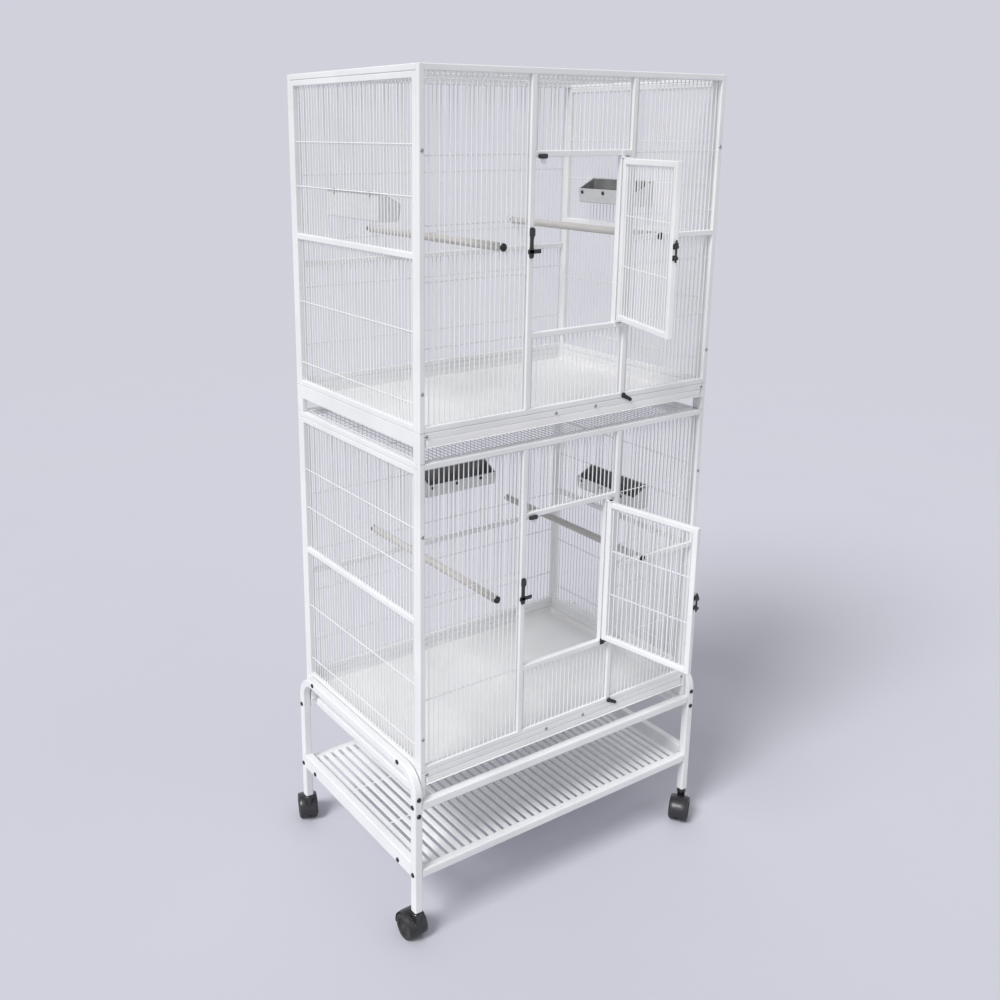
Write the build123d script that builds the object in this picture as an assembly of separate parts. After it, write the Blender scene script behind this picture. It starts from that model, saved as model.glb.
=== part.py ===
from build123d import *
import os

# Double stack flight cage: two wire cages of one pattern, stacked on a wheeled stand with a
# slatted shelf. Millimetres. +Z is up, the doors face -Y, and the origin is on the floor under
# the middle of the cages.

os.makedirs("parts", exist_ok=True)

# Cage size, and the tube and wire of its panels
cage_width = 813.0
cage_depth = 533.0
cage_height = 762.0
tube = 13.0
wire = 2.5
wire_pitch = 12.3

# Heights in one cage, measured up from the underside of its feet
tray_frame_drop = 32.0
tray_front_height = 18.0
panel_bottom = 64.0
door_sill = 226.0
front_mid_rail = 412.0
side_mid_rail = 405.5
back_mid_rail = 338.5
front_wire_levels = (362.0, 469.0)
side_wire_levels = (120.0, 264.0, 523.0, 619.0)
back_wire_levels = (155.0, 290.0, 399.0, 545.0)
screw_levels = (145.0, 608.0)

# Doorway and door leaf
doorway_height = 353.0
jamb_gap = 14.5
leaf_margin = 4.5
leaf_side_gap = 3.5
leaf_standoff = 3.0
door_open_angles = {"upper": 71.3, "lower": 100.0}
hinge_plate = 2.5
hinge_flange = 2.0
hinge_flange_height = 13.0
pin_radius = 2.0
pin_reach = 12.0
pin_head = 2.0

# Latch of the door
keeper_height = 62.0
keeper_rise = 393.0
keeper_plate = 2.5
keeper_tab = (34.0, 9.0)
keeper_tab_rise = 9.0
keeper_tab_overhang = 3.0
keeper_lobe = (17.0, 2.5)
keeper_lobe_inset = 1.0
keeper_lobe_round = 2.0
guide_rises = (9.0, 31.0)
guide_height = 6.0
guide_reach = 9.5
guide_width = 7.0
latch_radius = 2.0
latch_length = 44.0
latch_rise = 3.0
latch_knob = (4.0, 5.0)

# Small black pieces on the front
stop_size = (22.0, 8.0, 9.5)
stop_gap = 2.0
stop_round = 3.2
hook_length = 25.0
hook_width = 8.0
hook_boss_radius = 6.0
hook_plate = 2.5
hook_tilt = 30.0
hook_offset = 3.0
rail_screw_inset = 16.0
rail_screw_spread = 56.5

# Tray
tray_sheet = 1.2
tray_side_gap = 1.0
tray_back_gap = 1.5
tray_fold = 4.0
runner_width = 12.0
runner_sheet = 1.5

# Perches and feeding troughs
perch_radius = 9.0
perch_places = (-201.5, 225.5)
feeder_width = 215.0
feeder_height = 60.0
feeder_depth = 52.0
feeder_lip = 34.0
feeder_toe = 6.0
feeder_sheet = 1.2
feeder_hook_spread = 77.0
feeder_hook_width = 6.0
feeder_hook_drop = 8.0
feeder_hook_slack = 0.5

# Screws and bolts
screw_radius = 2.0
screw_head = (4.0, 2.0)
screw_reach = 8.0
washer = (8.5, 1.5)
perch_screw_reach = 20.0
bolt_radius = 3.0
bolt_head = (5.5, 3.0)

# Stand
stand_height = 356.0
stand_tube = 20.0
hoop_gap = 2.0
hoop_overhang = 12.0
hoop_back_inset = 2.0
hoop_top = 431.0
hoop_radius = 50.0
inner_rail_inset = 14.0
shelf_height = 165.0
shelf_side_height = 38.0
slat_width = 13.0
slat_sheet = 5.0
slat_pitch = 22.6
cross_wire_radius = 2.0
cross_wire_spread = 80.5
hoop_bolt_inset = 62.0
shelf_bolt_inset = 63.0
leg_bolt_offset = 20.5

# Casters
caster_height = 80.0
wheel_radius = 30.0
wheel_width = 18.0
wheel_side_gap = 1.0
wheel_hub = (19.0, 3.0)
wheel_round = 2.4
hood_web = 8.0
hood_shell = 3.0
hood_wheel_gap = 2.0
hood_skirt = 8.0
neck_radius = 10.0
stem_radius = 5.5
stem_length = 30.0
axle_radius = 3.0
caster_trail = 22.0
caster_headings = {
    "front_left": 90.0,
    "front_right": 214.0,
    "back_left": 70.0,
    "back_right": 120.0,
}

# Clearances
clearance = 0.3
turning_fit = 0.05

# Places that follow from the sizes
left = -cage_width / 2
right = cage_width / 2
front = -cage_depth / 2
back = cage_depth / 2
floors = {"lower": stand_height, "upper": stand_height + cage_height}
half_wire = wire / 2
wire_plane = tube / 2
doorway_sill = door_sill + tube
doorway_head = doorway_sill + doorway_height
post_left = left + cage_width / 3
post_right = right - cage_width / 3
jamb_right = post_right - tube / 2 - jamb_gap
jamb_left = jamb_right - tube
hinge_x = jamb_right - tube / 2
hinge_y = front - leaf_standoff - tube / 2
leaf_left = post_left + tube / 2 + leaf_side_gap
leaf_bottom = doorway_sill + leaf_margin
leaf_top = doorway_head - leaf_margin
tray_top = tray_frame_drop + tray_front_height
perch_rise = front_mid_rail + tube / 2
latch_x = leaf_left - guide_reach / 2
hook_x = post_right + hook_offset
hook_z = panel_bottom + tube / 2
leg_x = right + hoop_gap + stand_tube / 2
leg_front = front - hoop_overhang + stand_tube / 2
leg_back = back - hoop_back_inset - stand_tube / 2


def block(x, y, z):
    """A box between the low and high values of each axis."""
    size = (x[1] - x[0], y[1] - y[0], z[1] - z[0])
    return Pos(x[0], y[0], z[0]) * Box(*size, align=(Align.MIN, Align.MIN, Align.MIN))


def rod(start, direction, radius, length):
    """A round bar from its start point along a direction."""
    upright = Cylinder(radius, length, align=(Align.CENTER, Align.CENTER, Align.MIN))
    return Plane(origin=start, z_dir=direction) * upright


def fuse(pieces):
    """Joins a list of shapes that touch into one."""
    whole = pieces[0]
    for piece in pieces[1:]:
        whole = whole + piece
    return whole


def cut(shape, tools):
    """Cuts from a shape each tool whose box meets it."""
    box = shape.bounding_box()
    for tool in tools:
        other = tool.bounding_box()
        apart_x = other.min.X > box.max.X or other.max.X < box.min.X
        apart_y = other.min.Y > box.max.Y or other.max.Y < box.min.Y
        apart_z = other.min.Z > box.max.Z or other.max.Z < box.min.Z
        if not (apart_x or apart_y or apart_z):
            shape = shape - tool
    return shape


def save(name, shapes):
    """Writes the solids of one sub-part."""
    solids = []
    for shape in shapes:
        solids.extend(shape.solids())
    shape = solids[0] if len(solids) == 1 else Compound(solids)
    export_step(shape, f"parts/{name}.step")


def spread(low, high, pitch):
    """Even places strictly between two ends, as near to the wanted pitch as fits."""
    count = max(2, round((high - low) / pitch))
    step = (high - low) / count
    return [low + step * number for number in range(1, count)]


def nearest_cell(low, high, pitch, wanted):
    """The middle of the gap between two wires that lies nearest to a wanted place."""
    edges = [low] + spread(low, high, pitch) + [high]
    middles = [(first + second) / 2 for first, second in zip(edges, edges[1:])]
    return min(middles, key=lambda middle: abs(middle - wanted))


def gaps(low, high, centres):
    """The clear stretches that the wires at these centres leave between two ends."""
    inside = [centre for centre in centres if low + wire < centre < high - wire]
    starts = [low + half_wire] + [centre + half_wire for centre in inside]
    ends = [centre - half_wire for centre in inside] + [high - half_wire]
    return [(start, end) for start, end in zip(starts, ends) if end - start > half_wire]


def outline(u, v):
    """A closed rectangle in the sketch plane."""
    corners = [(u[0], v[0]), (u[1], v[0]), (u[1], v[1]), (u[0], v[1])]
    return Wire.make_polygon([Vector(*corner) for corner in corners], close=True)


def grille(plane, u, v, u_wires, v_wires):
    """A flat welded grille that fills one field between the tubes around it."""
    holes = [outline(gap, row) for gap in gaps(*u, u_wires) for row in gaps(*v, v_wires)]
    face = Face(outline(u, v), holes)
    return plane.offset(-half_wire) * extrude(face, amount=wire)


def facing_front(y):
    """A sketch plane seen from the front: u runs along X and v up."""
    return Plane(origin=(0, y, 0), x_dir=(1, 0, 0), z_dir=(0, -1, 0))


def facing_side(x):
    """A sketch plane seen from the side: u runs along Y and v up."""
    return Plane(origin=(x, 0, 0), x_dir=(0, 1, 0), z_dir=(1, 0, 0))


x_wires = spread(left + tube, right - tube, wire_pitch)
y_wires = spread(front + 2 * tube, back - 2 * tube, wire_pitch)


# Fasteners of the cages, made first because the panels take their holes from them


def fastener(start, direction, head, radius, reach):
    """A screw or bolt whose head stands on the start point and whose shank runs along direction."""
    away = tuple(-part for part in direction)
    return rod(start, away, *head) + rod(start, direction, radius, reach)


def fastener_hole(start, direction, radius, reach):
    """The hole that such a shank runs in."""
    return rod(start, direction, radius + turning_fit, reach + clearance)


def panel_screw_places():
    """Head seats and directions of the screws of one cage."""
    places = []
    for x in (left + tube / 2, right - tube / 2):
        for level in screw_levels:
            places.append(((x, front, level), (0, 1, 0), tube + screw_reach))
            places.append(((x, back, level), (0, -1, 0), tube + screw_reach))
    for x in (left + rail_screw_inset, -rail_screw_spread, rail_screw_spread, right - rail_screw_inset):
        seat = (x, front, (tray_top + panel_bottom) / 2)
        places.append((seat, (0, 1, 0), screw_reach))
    return places


def perch_xs():
    """The perches hang at the gap between two wires nearest to their wanted places."""
    return [nearest_cell(left + tube, right - tube, wire_pitch, wanted) for wanted in perch_places]


def perch_screw_places():
    """Seats of the perch screws: in front of the wires or of the middle rail, and at the back."""
    left_perch, right_perch = perch_xs()
    z = perch_rise
    wire_face = front + wire_plane - half_wire
    far_face = back - wire_plane + half_wire
    through_wires = wire + perch_screw_reach
    return [
        ((left_perch, wire_face, z), (0, 1, 0), through_wires),
        ((right_perch, front, z), (0, 1, 0), tube + perch_screw_reach),
        ((left_perch, far_face, z), (0, -1, 0), through_wires),
        ((right_perch, far_face, z), (0, -1, 0), through_wires),
    ]


def perch_screw(start, direction, reach):
    """A screw with a wide washer under its head."""
    away = tuple(-part for part in direction)
    seat = tuple(place + washer[1] * part for place, part in zip(start, away))
    collar = rod(start, away, *washer)
    return collar + rod(seat, away, *screw_head) + rod(start, direction, screw_radius, reach)


def hook_pivot_place():
    """Head seat of the screw that the tray hook turns on."""
    seat = (hook_x, front - clearance - hook_plate - clearance, hook_z)
    return seat, (0, 1, 0), clearance + hook_plate + clearance + screw_reach


def on_each_floor(shapes):
    """The pieces of one cage, repeated at the floor of both."""
    return [Pos(0, 0, floor_height) * shape for floor_height in floors.values() for shape in shapes]


screw_holes = []
panel_screws = []
for start, direction, reach in panel_screw_places():
    panel_screws.append(fastener(start, direction, screw_head, screw_radius, reach))
    screw_holes.append(fastener_hole(start, direction, screw_radius, reach))
perch_screws = []
for start, direction, reach in perch_screw_places():
    perch_screws.append(perch_screw(start, direction, reach))
    screw_holes.append(fastener_hole(start, direction, screw_radius, reach))
start, direction, reach = hook_pivot_place()
hook_pivot = fastener(start, direction, screw_head, screw_radius, reach)
screw_holes.append(fastener_hole(start, direction, screw_radius, reach))
save("panel_screws", on_each_floor(panel_screws))
save("perch_screws", on_each_floor(perch_screws))
save("tray_hook_pivots", on_each_floor([hook_pivot]))


# Bolts of the stand, for the same reason


def stand_bolt_places():
    """Bolts through the hoops into the rails and the lower cage, and through the shelf sides."""
    places = []
    hoop_z = (stand_height + panel_bottom + hoop_top) / 2
    rail_z = stand_height - stand_tube / 2
    shelf_z = shelf_height + stand_tube / 2
    outer = leg_x + stand_tube / 2
    for side in (-1, 1):
        inward = (-side, 0, 0)
        for y in (leg_front + hoop_bolt_inset, leg_back - hoop_bolt_inset):
            places.append(((side * outer, y, hoop_z), inward, stand_tube + hoop_gap + screw_reach))
        for y in (leg_front, leg_back):
            places.append(((side * outer, y, rail_z), inward, stand_tube + screw_reach))
            places.append(((side * outer, y, shelf_z), inward, stand_tube + screw_reach))
        for y in (leg_front + shelf_bolt_inset, leg_back - shelf_bolt_inset):
            places.append(((side * outer, y, shelf_z), inward, stand_tube - clearance))
        for offset in (-leg_bolt_offset, leg_bolt_offset):
            seat = (side * leg_x, leg_front - stand_tube / 2, rail_z + offset)
            places.append((seat, (0, 1, 0), screw_reach))
    return places


stand_bolts = []
bolt_holes = []
for start, direction, reach in stand_bolt_places():
    stand_bolts.append(fastener(start, direction, bolt_head, bolt_radius, reach))
    bolt_holes.append(fastener_hole(start, direction, bolt_radius, reach))
save("stand_bolts", stand_bolts)


# Cage panels. Each tube is a solid of its own in the node of its welded frame.


def front_frame():
    """Tube frame of the front: two stiles, two posts, the doorway and the right middle rail."""
    deep = (front, front + tube)
    low = panel_bottom
    high = cage_height
    sill = doorway_sill
    head = doorway_head
    mid = front_mid_rail
    between = (left + tube, right - tube)
    post_faces = (post_left + tube / 2, post_right - tube / 2)
    bars = [
        block(between, deep, (low, low + tube)),
        block((left, left + tube), deep, (low, high)),
        block((right - tube, right), deep, (low, high)),
        block(between, deep, (high - tube, high)),
        block(post_faces, deep, (sill - tube, sill)),
        block(post_faces, deep, (head, head + tube)),
        block((jamb_left, jamb_right), deep, (sill, head)),
        block((post_right + tube / 2, right - tube), deep, (mid, mid + tube)),
    ]
    for middle in (post_left, post_right):
        bars.append(block((middle - tube / 2, middle + tube / 2), deep, (low + tube, high - tube)))
    return [cut(bar, screw_holes) for bar in bars]


def front_grille():
    """The wire fields between the tubes of the front frame."""
    plane = facing_front(front + wire_plane)
    low = panel_bottom + tube
    high = cage_height - tube
    sill = doorway_sill
    head = doorway_head
    mid = front_mid_rail
    levels = [sill - tube / 2] + list(front_wire_levels) + [head + tube / 2]
    left_field = (left + tube, post_left - tube / 2)
    door_field = (post_left + tube / 2, post_right - tube / 2)
    right_field = (post_right + tube / 2, right - tube)
    fields = [
        (left_field, (low, high)),
        (door_field, (low, sill - tube)),
        (door_field, (head + tube, high)),
        ((jamb_right, post_right - tube / 2), (sill, head)),
        (right_field, (low, mid)),
        (right_field, (mid + tube, high)),
    ]
    return [grille(plane, u, v, x_wires, levels) for u, v in fields]


def back_panel():
    """Tube frame and wire fields of the back."""
    deep = (back - tube, back)
    low = panel_bottom
    high = cage_height
    mid = back_mid_rail
    between = (left + tube, right - tube)
    bars = [
        block(between, deep, (low, low + tube)),
        block((left, left + tube), deep, (low, high)),
        block((right - tube, right), deep, (low, high)),
        block(between, deep, (high - tube, high)),
        block(between, deep, (mid, mid + tube)),
    ]
    plane = facing_front(back - wire_plane)
    levels = back_wire_levels
    fields = [(low + tube, mid), (mid + tube, high - tube)]
    wires = [grille(plane, between, field, x_wires, levels) for field in fields]
    return [cut(bar, screw_holes) for bar in bars] + wires


def side_panel(side):
    """Tube frame and wire fields of a side, between the front and back panels."""
    outer = right if side > 0 else left + tube
    wide = (outer - tube, outer)
    low = panel_bottom
    high = cage_height - tube
    mid = side_mid_rail
    long = (front + tube, back - tube)
    between = (front + 2 * tube, back - 2 * tube)
    bars = [
        block(wide, between, (low, low + tube)),
        block(wide, (long[0], between[0]), (low, high)),
        block(wide, (between[1], long[1]), (low, high)),
        block(wide, between, (high - tube, high)),
        block(wide, between, (mid, mid + tube)),
    ]
    plane = facing_side(outer - wire_plane)
    levels = side_wire_levels
    fields = [(low + tube, mid), (mid + tube, high - tube)]
    wires = [grille(plane, between, field, y_wires, levels) for field in fields]
    return [cut(bar, screw_holes) for bar in bars] + wires


def top_panel():
    """Flat roof that lies between the front and back panels, on top of the sides."""
    high = cage_height
    flat = (high - tube, high)
    across = (left + tube, right - tube)
    between = (front + 2 * tube, back - 2 * tube)
    bars = [
        block((left, left + tube), (front + tube, back - tube), flat),
        block((right - tube, right), (front + tube, back - tube), flat),
        block(across, (front + tube, between[0]), flat),
        block(across, (between[1], back - tube), flat),
    ]
    plane = Plane(origin=(0, 0, high - wire_plane))
    thirds = [between[0] + (between[1] - between[0]) * part / 3 for part in (1, 2)]
    return bars + [grille(plane, across, between, x_wires, thirds)]


def base_frame():
    """Four feet, the rails round the tray, and the runners that the tray slides on."""
    drop = tray_frame_drop
    high = panel_bottom
    inner_y = (front + 2 * tube, back - 2 * tube)
    runner_y = (front + tube, back - tube)
    bars = []
    for side_x in ((left, left + tube), (right - tube, right)):
        bars.append(block(side_x, (front, inner_y[0]), (0, high)))
        bars.append(block(side_x, inner_y, (drop, high)))
        bars.append(block(side_x, (inner_y[1], back), (0, high)))
    across = (left + tube, right - tube)
    bars.append(block(across, (back - tube, back), (drop, high)))
    bars.append(block(across, (front, front + tube), (tray_top, high)))
    flat = (drop, drop + runner_sheet)
    bars.append(block((left + tube, left + tube + runner_width), runner_y, flat))
    bars.append(block((right - tube - runner_width, right - tube), runner_y, flat))
    return [cut(bar, screw_holes) for bar in bars]


def tray():
    """Folded sheet pan that rides on the runners; its front fills the slot under the front rail."""
    low = tray_frame_drop + runner_sheet + clearance
    high = tray_top - clearance
    x = (left + tube + tray_side_gap, right - tube - tray_side_gap)
    y = (front, back - tube - tray_back_gap)
    pan = block(x, y, (low, high))
    inner_x = (x[0] + tray_sheet, x[1] - tray_sheet)
    inner_y = (y[0] + tray_sheet, y[1] - tray_sheet)
    pan = pan - block(inner_x, inner_y, (low + tray_sheet, high + tube))
    fold = block(x, (front - tray_fold, front), (low, low + tray_sheet))
    return pan + fold


# Door leaf, hinges and latch. The leaf is drawn shut and then turned open about its hinge.


def opened(shape, name):
    """Turns a piece of the leaf to the angle that the door stands open."""
    hinge = Axis((hinge_x, hinge_y, 0), (0, 0, 1))
    return shape.rotate(hinge, door_open_angles[name])


def door_leaf():
    """Tube frame with a wire field, and a bore at each end of the hinge stile."""
    deep = (hinge_y - tube / 2, hinge_y + tube / 2)
    low = leaf_bottom
    high = leaf_top
    across = (leaf_left + tube, jamb_left)
    bars = [
        block((leaf_left, leaf_left + tube), deep, (low, high)),
        block((jamb_left, jamb_right), deep, (low, high)),
        block(across, deep, (low, low + tube)),
        block(across, deep, (high - tube, high)),
    ]
    bore_radius = pin_radius + turning_fit
    bore_depth = pin_reach + clearance
    bores = [
        rod((hinge_x, hinge_y, low), (0, 0, 1), bore_radius, bore_depth),
        rod((hinge_x, hinge_y, high), (0, 0, -1), bore_radius, bore_depth),
    ]
    field = (low + tube, high - tube)
    wires = grille(facing_front(hinge_y), across, field, x_wires, front_wire_levels)
    return [cut(bar, bores) for bar in bars] + [wires]


def hinge_bracket(end, upward):
    """Angle plate on the jamb that carries one hinge pin. It lies just past the leaf's end."""
    near = end - upward * clearance
    far = near - upward * hinge_plate
    plate_z = (min(near, far), max(near, far))
    flange_end = far - upward * hinge_flange_height
    flange_z = (min(near, flange_end), max(near, flange_end))
    plate = block((jamb_left, jamb_right), (hinge_y - tube / 2, front), plate_z)
    flange = block((jamb_left, jamb_right), (front - hinge_flange, front), flange_z)
    hole = rod((hinge_x, hinge_y, far), (0, 0, upward), pin_radius + turning_fit, hinge_plate)
    return plate + flange - hole


def hinge_pin(end, upward):
    """Headed pin through the bracket into the bore of the leaf."""
    seat = end - upward * (clearance + hinge_plate)
    start = (hinge_x, hinge_y, seat)
    reach = hinge_plate + pin_reach
    return fastener(start, (0, 0, upward), (2 * pin_radius, pin_head), pin_radius, reach)


def latch_keeper():
    """Black keeper on the left post: a plate, a tab that the shut leaf stops at, and a lobe."""
    low = keeper_rise
    face = (front - keeper_plate, front)
    half = tube / 2
    plate = block((post_left - half, post_left + half), face, (low, low + keeper_height))
    tab_low = low + keeper_tab_rise
    tab_left = post_left - half - keeper_tab_overhang
    tab = block((tab_left, tab_left + keeper_tab[0]), face, (tab_low, tab_low + keeper_tab[1]))
    lobe_z = (low + keeper_height - keeper_lobe[0], low + keeper_height)
    lobe_half = half - keeper_lobe_inset
    lobe_y = (face[0] - keeper_lobe[1], face[0])
    lobe = block((post_left - lobe_half, post_left + lobe_half), lobe_y, lobe_z)
    lobe = fillet(lobe.edges().filter_by(Axis.X).group_by(Axis.Y)[0], keeper_lobe_round)
    return plate + tab + lobe


def latch_guides():
    """Two black guides on the free edge of the leaf that the latch bar slides in."""
    middle = (latch_x, hinge_y)
    deep = (hinge_y - guide_width / 2, hinge_y + guide_width / 2)
    guides = []
    for rise in guide_rises:
        low = keeper_rise + rise
        body = block((leaf_left - guide_reach, leaf_left), deep, (low, low + guide_height))
        hole = rod((*middle, low), (0, 0, 1), latch_radius + turning_fit, guide_height)
        guides.append(body - hole)
    return guides


def latch_bar():
    """Lift latch: a round bar with a knob that rests on the upper guide."""
    low = keeper_rise + latch_rise
    knob_low = keeper_rise + guide_rises[1] + guide_height
    bar = rod((latch_x, hinge_y, low), (0, 0, 1), latch_radius, latch_length)
    return bar + rod((latch_x, hinge_y, knob_low), (0, 0, 1), *latch_knob)


def door_stop():
    """Small black bumper on the head rail, at the latch side of the doorway."""
    low = leaf_top + stop_gap
    x = (leaf_left, leaf_left + stop_size[0])
    body = block(x, (front - stop_size[1], front), (low, low + stop_size[2]))
    return fillet(body.edges().filter_by(Axis.X).group_by(Axis.Y)[0], stop_round)


def tray_hook():
    """Turn button beside the right post that swings down in front of the tray."""
    deep = (front - clearance - hook_plate, front - clearance)
    arm = block((0, hook_length), deep, (-hook_width / 2, hook_width / 2))
    boss = rod((0, deep[0], 0), (0, 1, 0), hook_boss_radius, hook_plate)
    tip = rod((hook_length, deep[0], 0), (0, 1, 0), hook_width / 2, hook_plate)
    hole = rod((0, deep[0], 0), (0, 1, 0), screw_radius + turning_fit, hook_plate)
    turned = (arm + boss + tip - hole).rotate(Axis((0, 0, 0), (0, 1, 0)), hook_tilt)
    return Pos(hook_x, 0, hook_z) * turned


# Perches and feeding troughs


def perch(number):
    """Round wooden perch from front to back, with a pilot hole for the screw at each end."""
    x = perch_xs()[number]
    start = front + (wire_plane + half_wire if number == 0 else tube)
    end = back - wire_plane - half_wire
    stick = rod((x, start, perch_rise), (0, 1, 0), perch_radius, end - start)
    return cut(stick, screw_holes)


def feeder(hook_offsets):
    """Sheet trough drawn with its back on the plane y = 0 and its mouth up, its hooks over a wire."""
    toe = feeder_depth - feeder_toe
    outer_points = [(0, 0), (toe, 0), (feeder_depth, feeder_lip), (0, feeder_height)]
    sheet = feeder_sheet
    mouth = feeder_height + tube
    inner_points = [
        (sheet, sheet),
        (toe - sheet, sheet),
        (feeder_depth - sheet, feeder_lip),
        (feeder_depth - sheet, mouth),
        (sheet, mouth),
    ]
    section = Plane(origin=(-feeder_width / 2, 0, 0), x_dir=(0, 1, 0), z_dir=(1, 0, 0))
    outer = section * extrude(make_face(Polyline(*outer_points, close=True)), amount=feeder_width)
    inner_plane = section.offset(sheet)
    inner_face = make_face(Polyline(*inner_points, close=True))
    inner = inner_plane * extrude(inner_face, amount=feeder_width - 2 * sheet)
    trough = outer - inner
    reach = clearance + wire + feeder_hook_slack
    strap_z = (feeder_height - sheet, feeder_height)
    half = feeder_hook_width / 2
    for offset in hook_offsets:
        across = (offset - half, offset + half)
        trough = trough + block(across, (-reach - sheet, sheet), strap_z)
        down = (feeder_height - sheet - feeder_hook_drop, feeder_height - sheet)
        trough = trough + block(across, (-reach - sheet, -reach), down)
    return trough


def hung_feeder(wall, centre, level):
    """Hangs a trough on a horizontal wire of the left, right or back wall."""
    z = level + half_wire + clearance + feeder_sheet - feeder_height
    side_span = (front + 2 * tube, back - 2 * tube)
    span = (left + tube, right - tube) if wall == "back" else side_span
    cells = [nearest_cell(*span, wire_pitch, centre + part * feeder_hook_spread) for part in (-1, 1)]
    middle = sum(cells) / 2
    inset = wire_plane + half_wire + clearance
    turns = {"left": -90, "right": 90, "back": 180}
    places = {
        "left": (left + inset, middle, z),
        "right": (right - inset, middle, z),
        "back": (middle, back - inset, z),
    }
    offsets = [cell - middle for cell in cells]
    return Pos(*places[wall]) * Rot(0, 0, turns[wall]) * feeder(offsets)


feeders = {
    "upper_left_feeder": ("upper", "left", 0.0, side_wire_levels[2]),
    "upper_right_feeder": ("upper", "right", 34.0, side_wire_levels[2]),
    "lower_back_feeder": ("lower", "back", 34.0, back_wire_levels[3]),
    "lower_right_feeder": ("lower", "right", 0.0, side_wire_levels[2]),
}
for name, (cage, wall, centre, level) in feeders.items():
    save(name, [Pos(0, 0, floors[cage]) * hung_feeder(wall, centre, level)])

cage_pieces = {
    "front_frame": front_frame(),
    "front_grille": front_grille(),
    "back_panel": back_panel(),
    "left_panel": side_panel(-1),
    "right_panel": side_panel(1),
    "top_panel": top_panel(),
    "base_frame": base_frame(),
    "tray": [tray()],
    "latch_keeper": [latch_keeper()],
    "tray_hook": [tray_hook()],
    "left_perch": [perch(0)],
    "right_perch": [perch(1)],
}
leaf_pieces = {
    "door_leaf": door_leaf(),
    "latch_guides": latch_guides(),
    "latch_bar": [latch_bar()],
}
for cage, floor_height in floors.items():
    lift = Pos(0, 0, floor_height)
    # The bolts of the stand reach into the sides of the lower cage.
    for name, shapes in cage_pieces.items():
        save(f"{cage}_{name}", [cut(lift * shape, bolt_holes) for shape in shapes])
    for name, shapes in leaf_pieces.items():
        save(f"{cage}_{name}", [opened(lift * shape, cage) for shape in shapes])

leaf_ends = ((leaf_bottom, 1), (leaf_top, -1))
save("door_hinge_brackets", on_each_floor([hinge_bracket(end, upward) for end, upward in leaf_ends]))
save("door_hinge_pins", on_each_floor([hinge_pin(end, upward) for end, upward in leaf_ends]))
save("door_stops", on_each_floor([door_stop()]))


# Stand


def hoop(side):
    """Inverted U of square tube at one side; its two ends are the legs that take the casters."""
    inner_x = hoop_gap + right
    wide = (inner_x, inner_x + stand_tube) if side > 0 else (-inner_x - stand_tube, -inner_x)
    outer_y = (leg_front - stand_tube / 2, leg_back + stand_tube / 2)
    inner_y = (leg_front + stand_tube / 2, leg_back - stand_tube / 2)
    outer = block(wide, outer_y, (caster_height, hoop_top))
    outer_edges = outer.edges().filter_by(Axis.X).group_by(Axis.Z)[-1]
    outer = fillet(outer_edges, hoop_radius + stand_tube / 2)
    inner = block(wide, inner_y, (caster_height, hoop_top - stand_tube))
    inner_edges = inner.edges().filter_by(Axis.X).group_by(Axis.Z)[-1]
    inner = fillet(inner_edges, hoop_radius - stand_tube / 2)
    sockets = [
        rod((side * leg_x, y, caster_height), (0, 0, 1), stem_radius + turning_fit, stem_length + clearance)
        for y in (leg_front, leg_back)
    ]
    return cut(outer - inner, sockets + bolt_holes)


def cross_rail(y, low):
    """Square tube between the hoops."""
    half = stand_tube / 2
    inner_x = right + hoop_gap
    rail = block((-inner_x, inner_x), (y - half, y + half), (low, low + stand_tube))
    return cut(rail, bolt_holes)


def inner_rails():
    """Two rails from front to back between the cross rails."""
    inner_y = (leg_front + stand_tube / 2, leg_back - stand_tube / 2)
    z = (stand_height - stand_tube, stand_height)
    first = left + inner_rail_inset
    last = right - inner_rail_inset
    return [block((first, first + stand_tube), inner_y, z), block((last - stand_tube, last), inner_y, z)]


def shelf_sides():
    """Tall rails between the legs of each hoop."""
    inner_y = (leg_front + stand_tube / 2, leg_back - stand_tube / 2)
    z = (shelf_height, shelf_height + shelf_side_height)
    inner_x = right + hoop_gap
    sides = [
        block((-inner_x - stand_tube, -inner_x), inner_y, z),
        block((inner_x, inner_x + stand_tube), inner_y, z),
    ]
    return [cut(piece, bolt_holes) for piece in sides]


def shelf_slats():
    """Slats from front to back, level with the shelf rails, and two wires across under them."""
    inner_y = (leg_front + stand_tube / 2, leg_back - stand_tube / 2)
    high = shelf_height + stand_tube
    pieces = []
    for x in spread(left - hoop_gap, right + hoop_gap, slat_pitch):
        pieces.append(block((x - slat_width / 2, x + slat_width / 2), inner_y, (high - slat_sheet, high)))
    inner_x = right + hoop_gap
    middle = (leg_front + leg_back) / 2
    wire_low = high - slat_sheet - 2 * cross_wire_radius
    for side in (-1, 1):
        y = middle + side * cross_wire_spread
        across = (y - cross_wire_radius, y + cross_wire_radius)
        pieces.append(block((-inner_x, inner_x), across, (wire_low, wire_low + 2 * cross_wire_radius)))
    return fuse(pieces)


save("left_hoop", [hoop(-1)])
save("right_hoop", [hoop(1)])
save("front_rail", [cross_rail(leg_front, stand_height - stand_tube)])
save("back_rail", [cross_rail(leg_back, stand_height - stand_tube)])
save("inner_rails", inner_rails())
shelf_rails = [cross_rail(y, shelf_height) for y in (leg_front, leg_back)]
save("shelf_frame", shelf_rails + shelf_sides())
save("shelf_slats", [shelf_slats()])


# Casters. Each is drawn with its swivel axis on Z and its wheels trailing towards +X.


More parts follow.
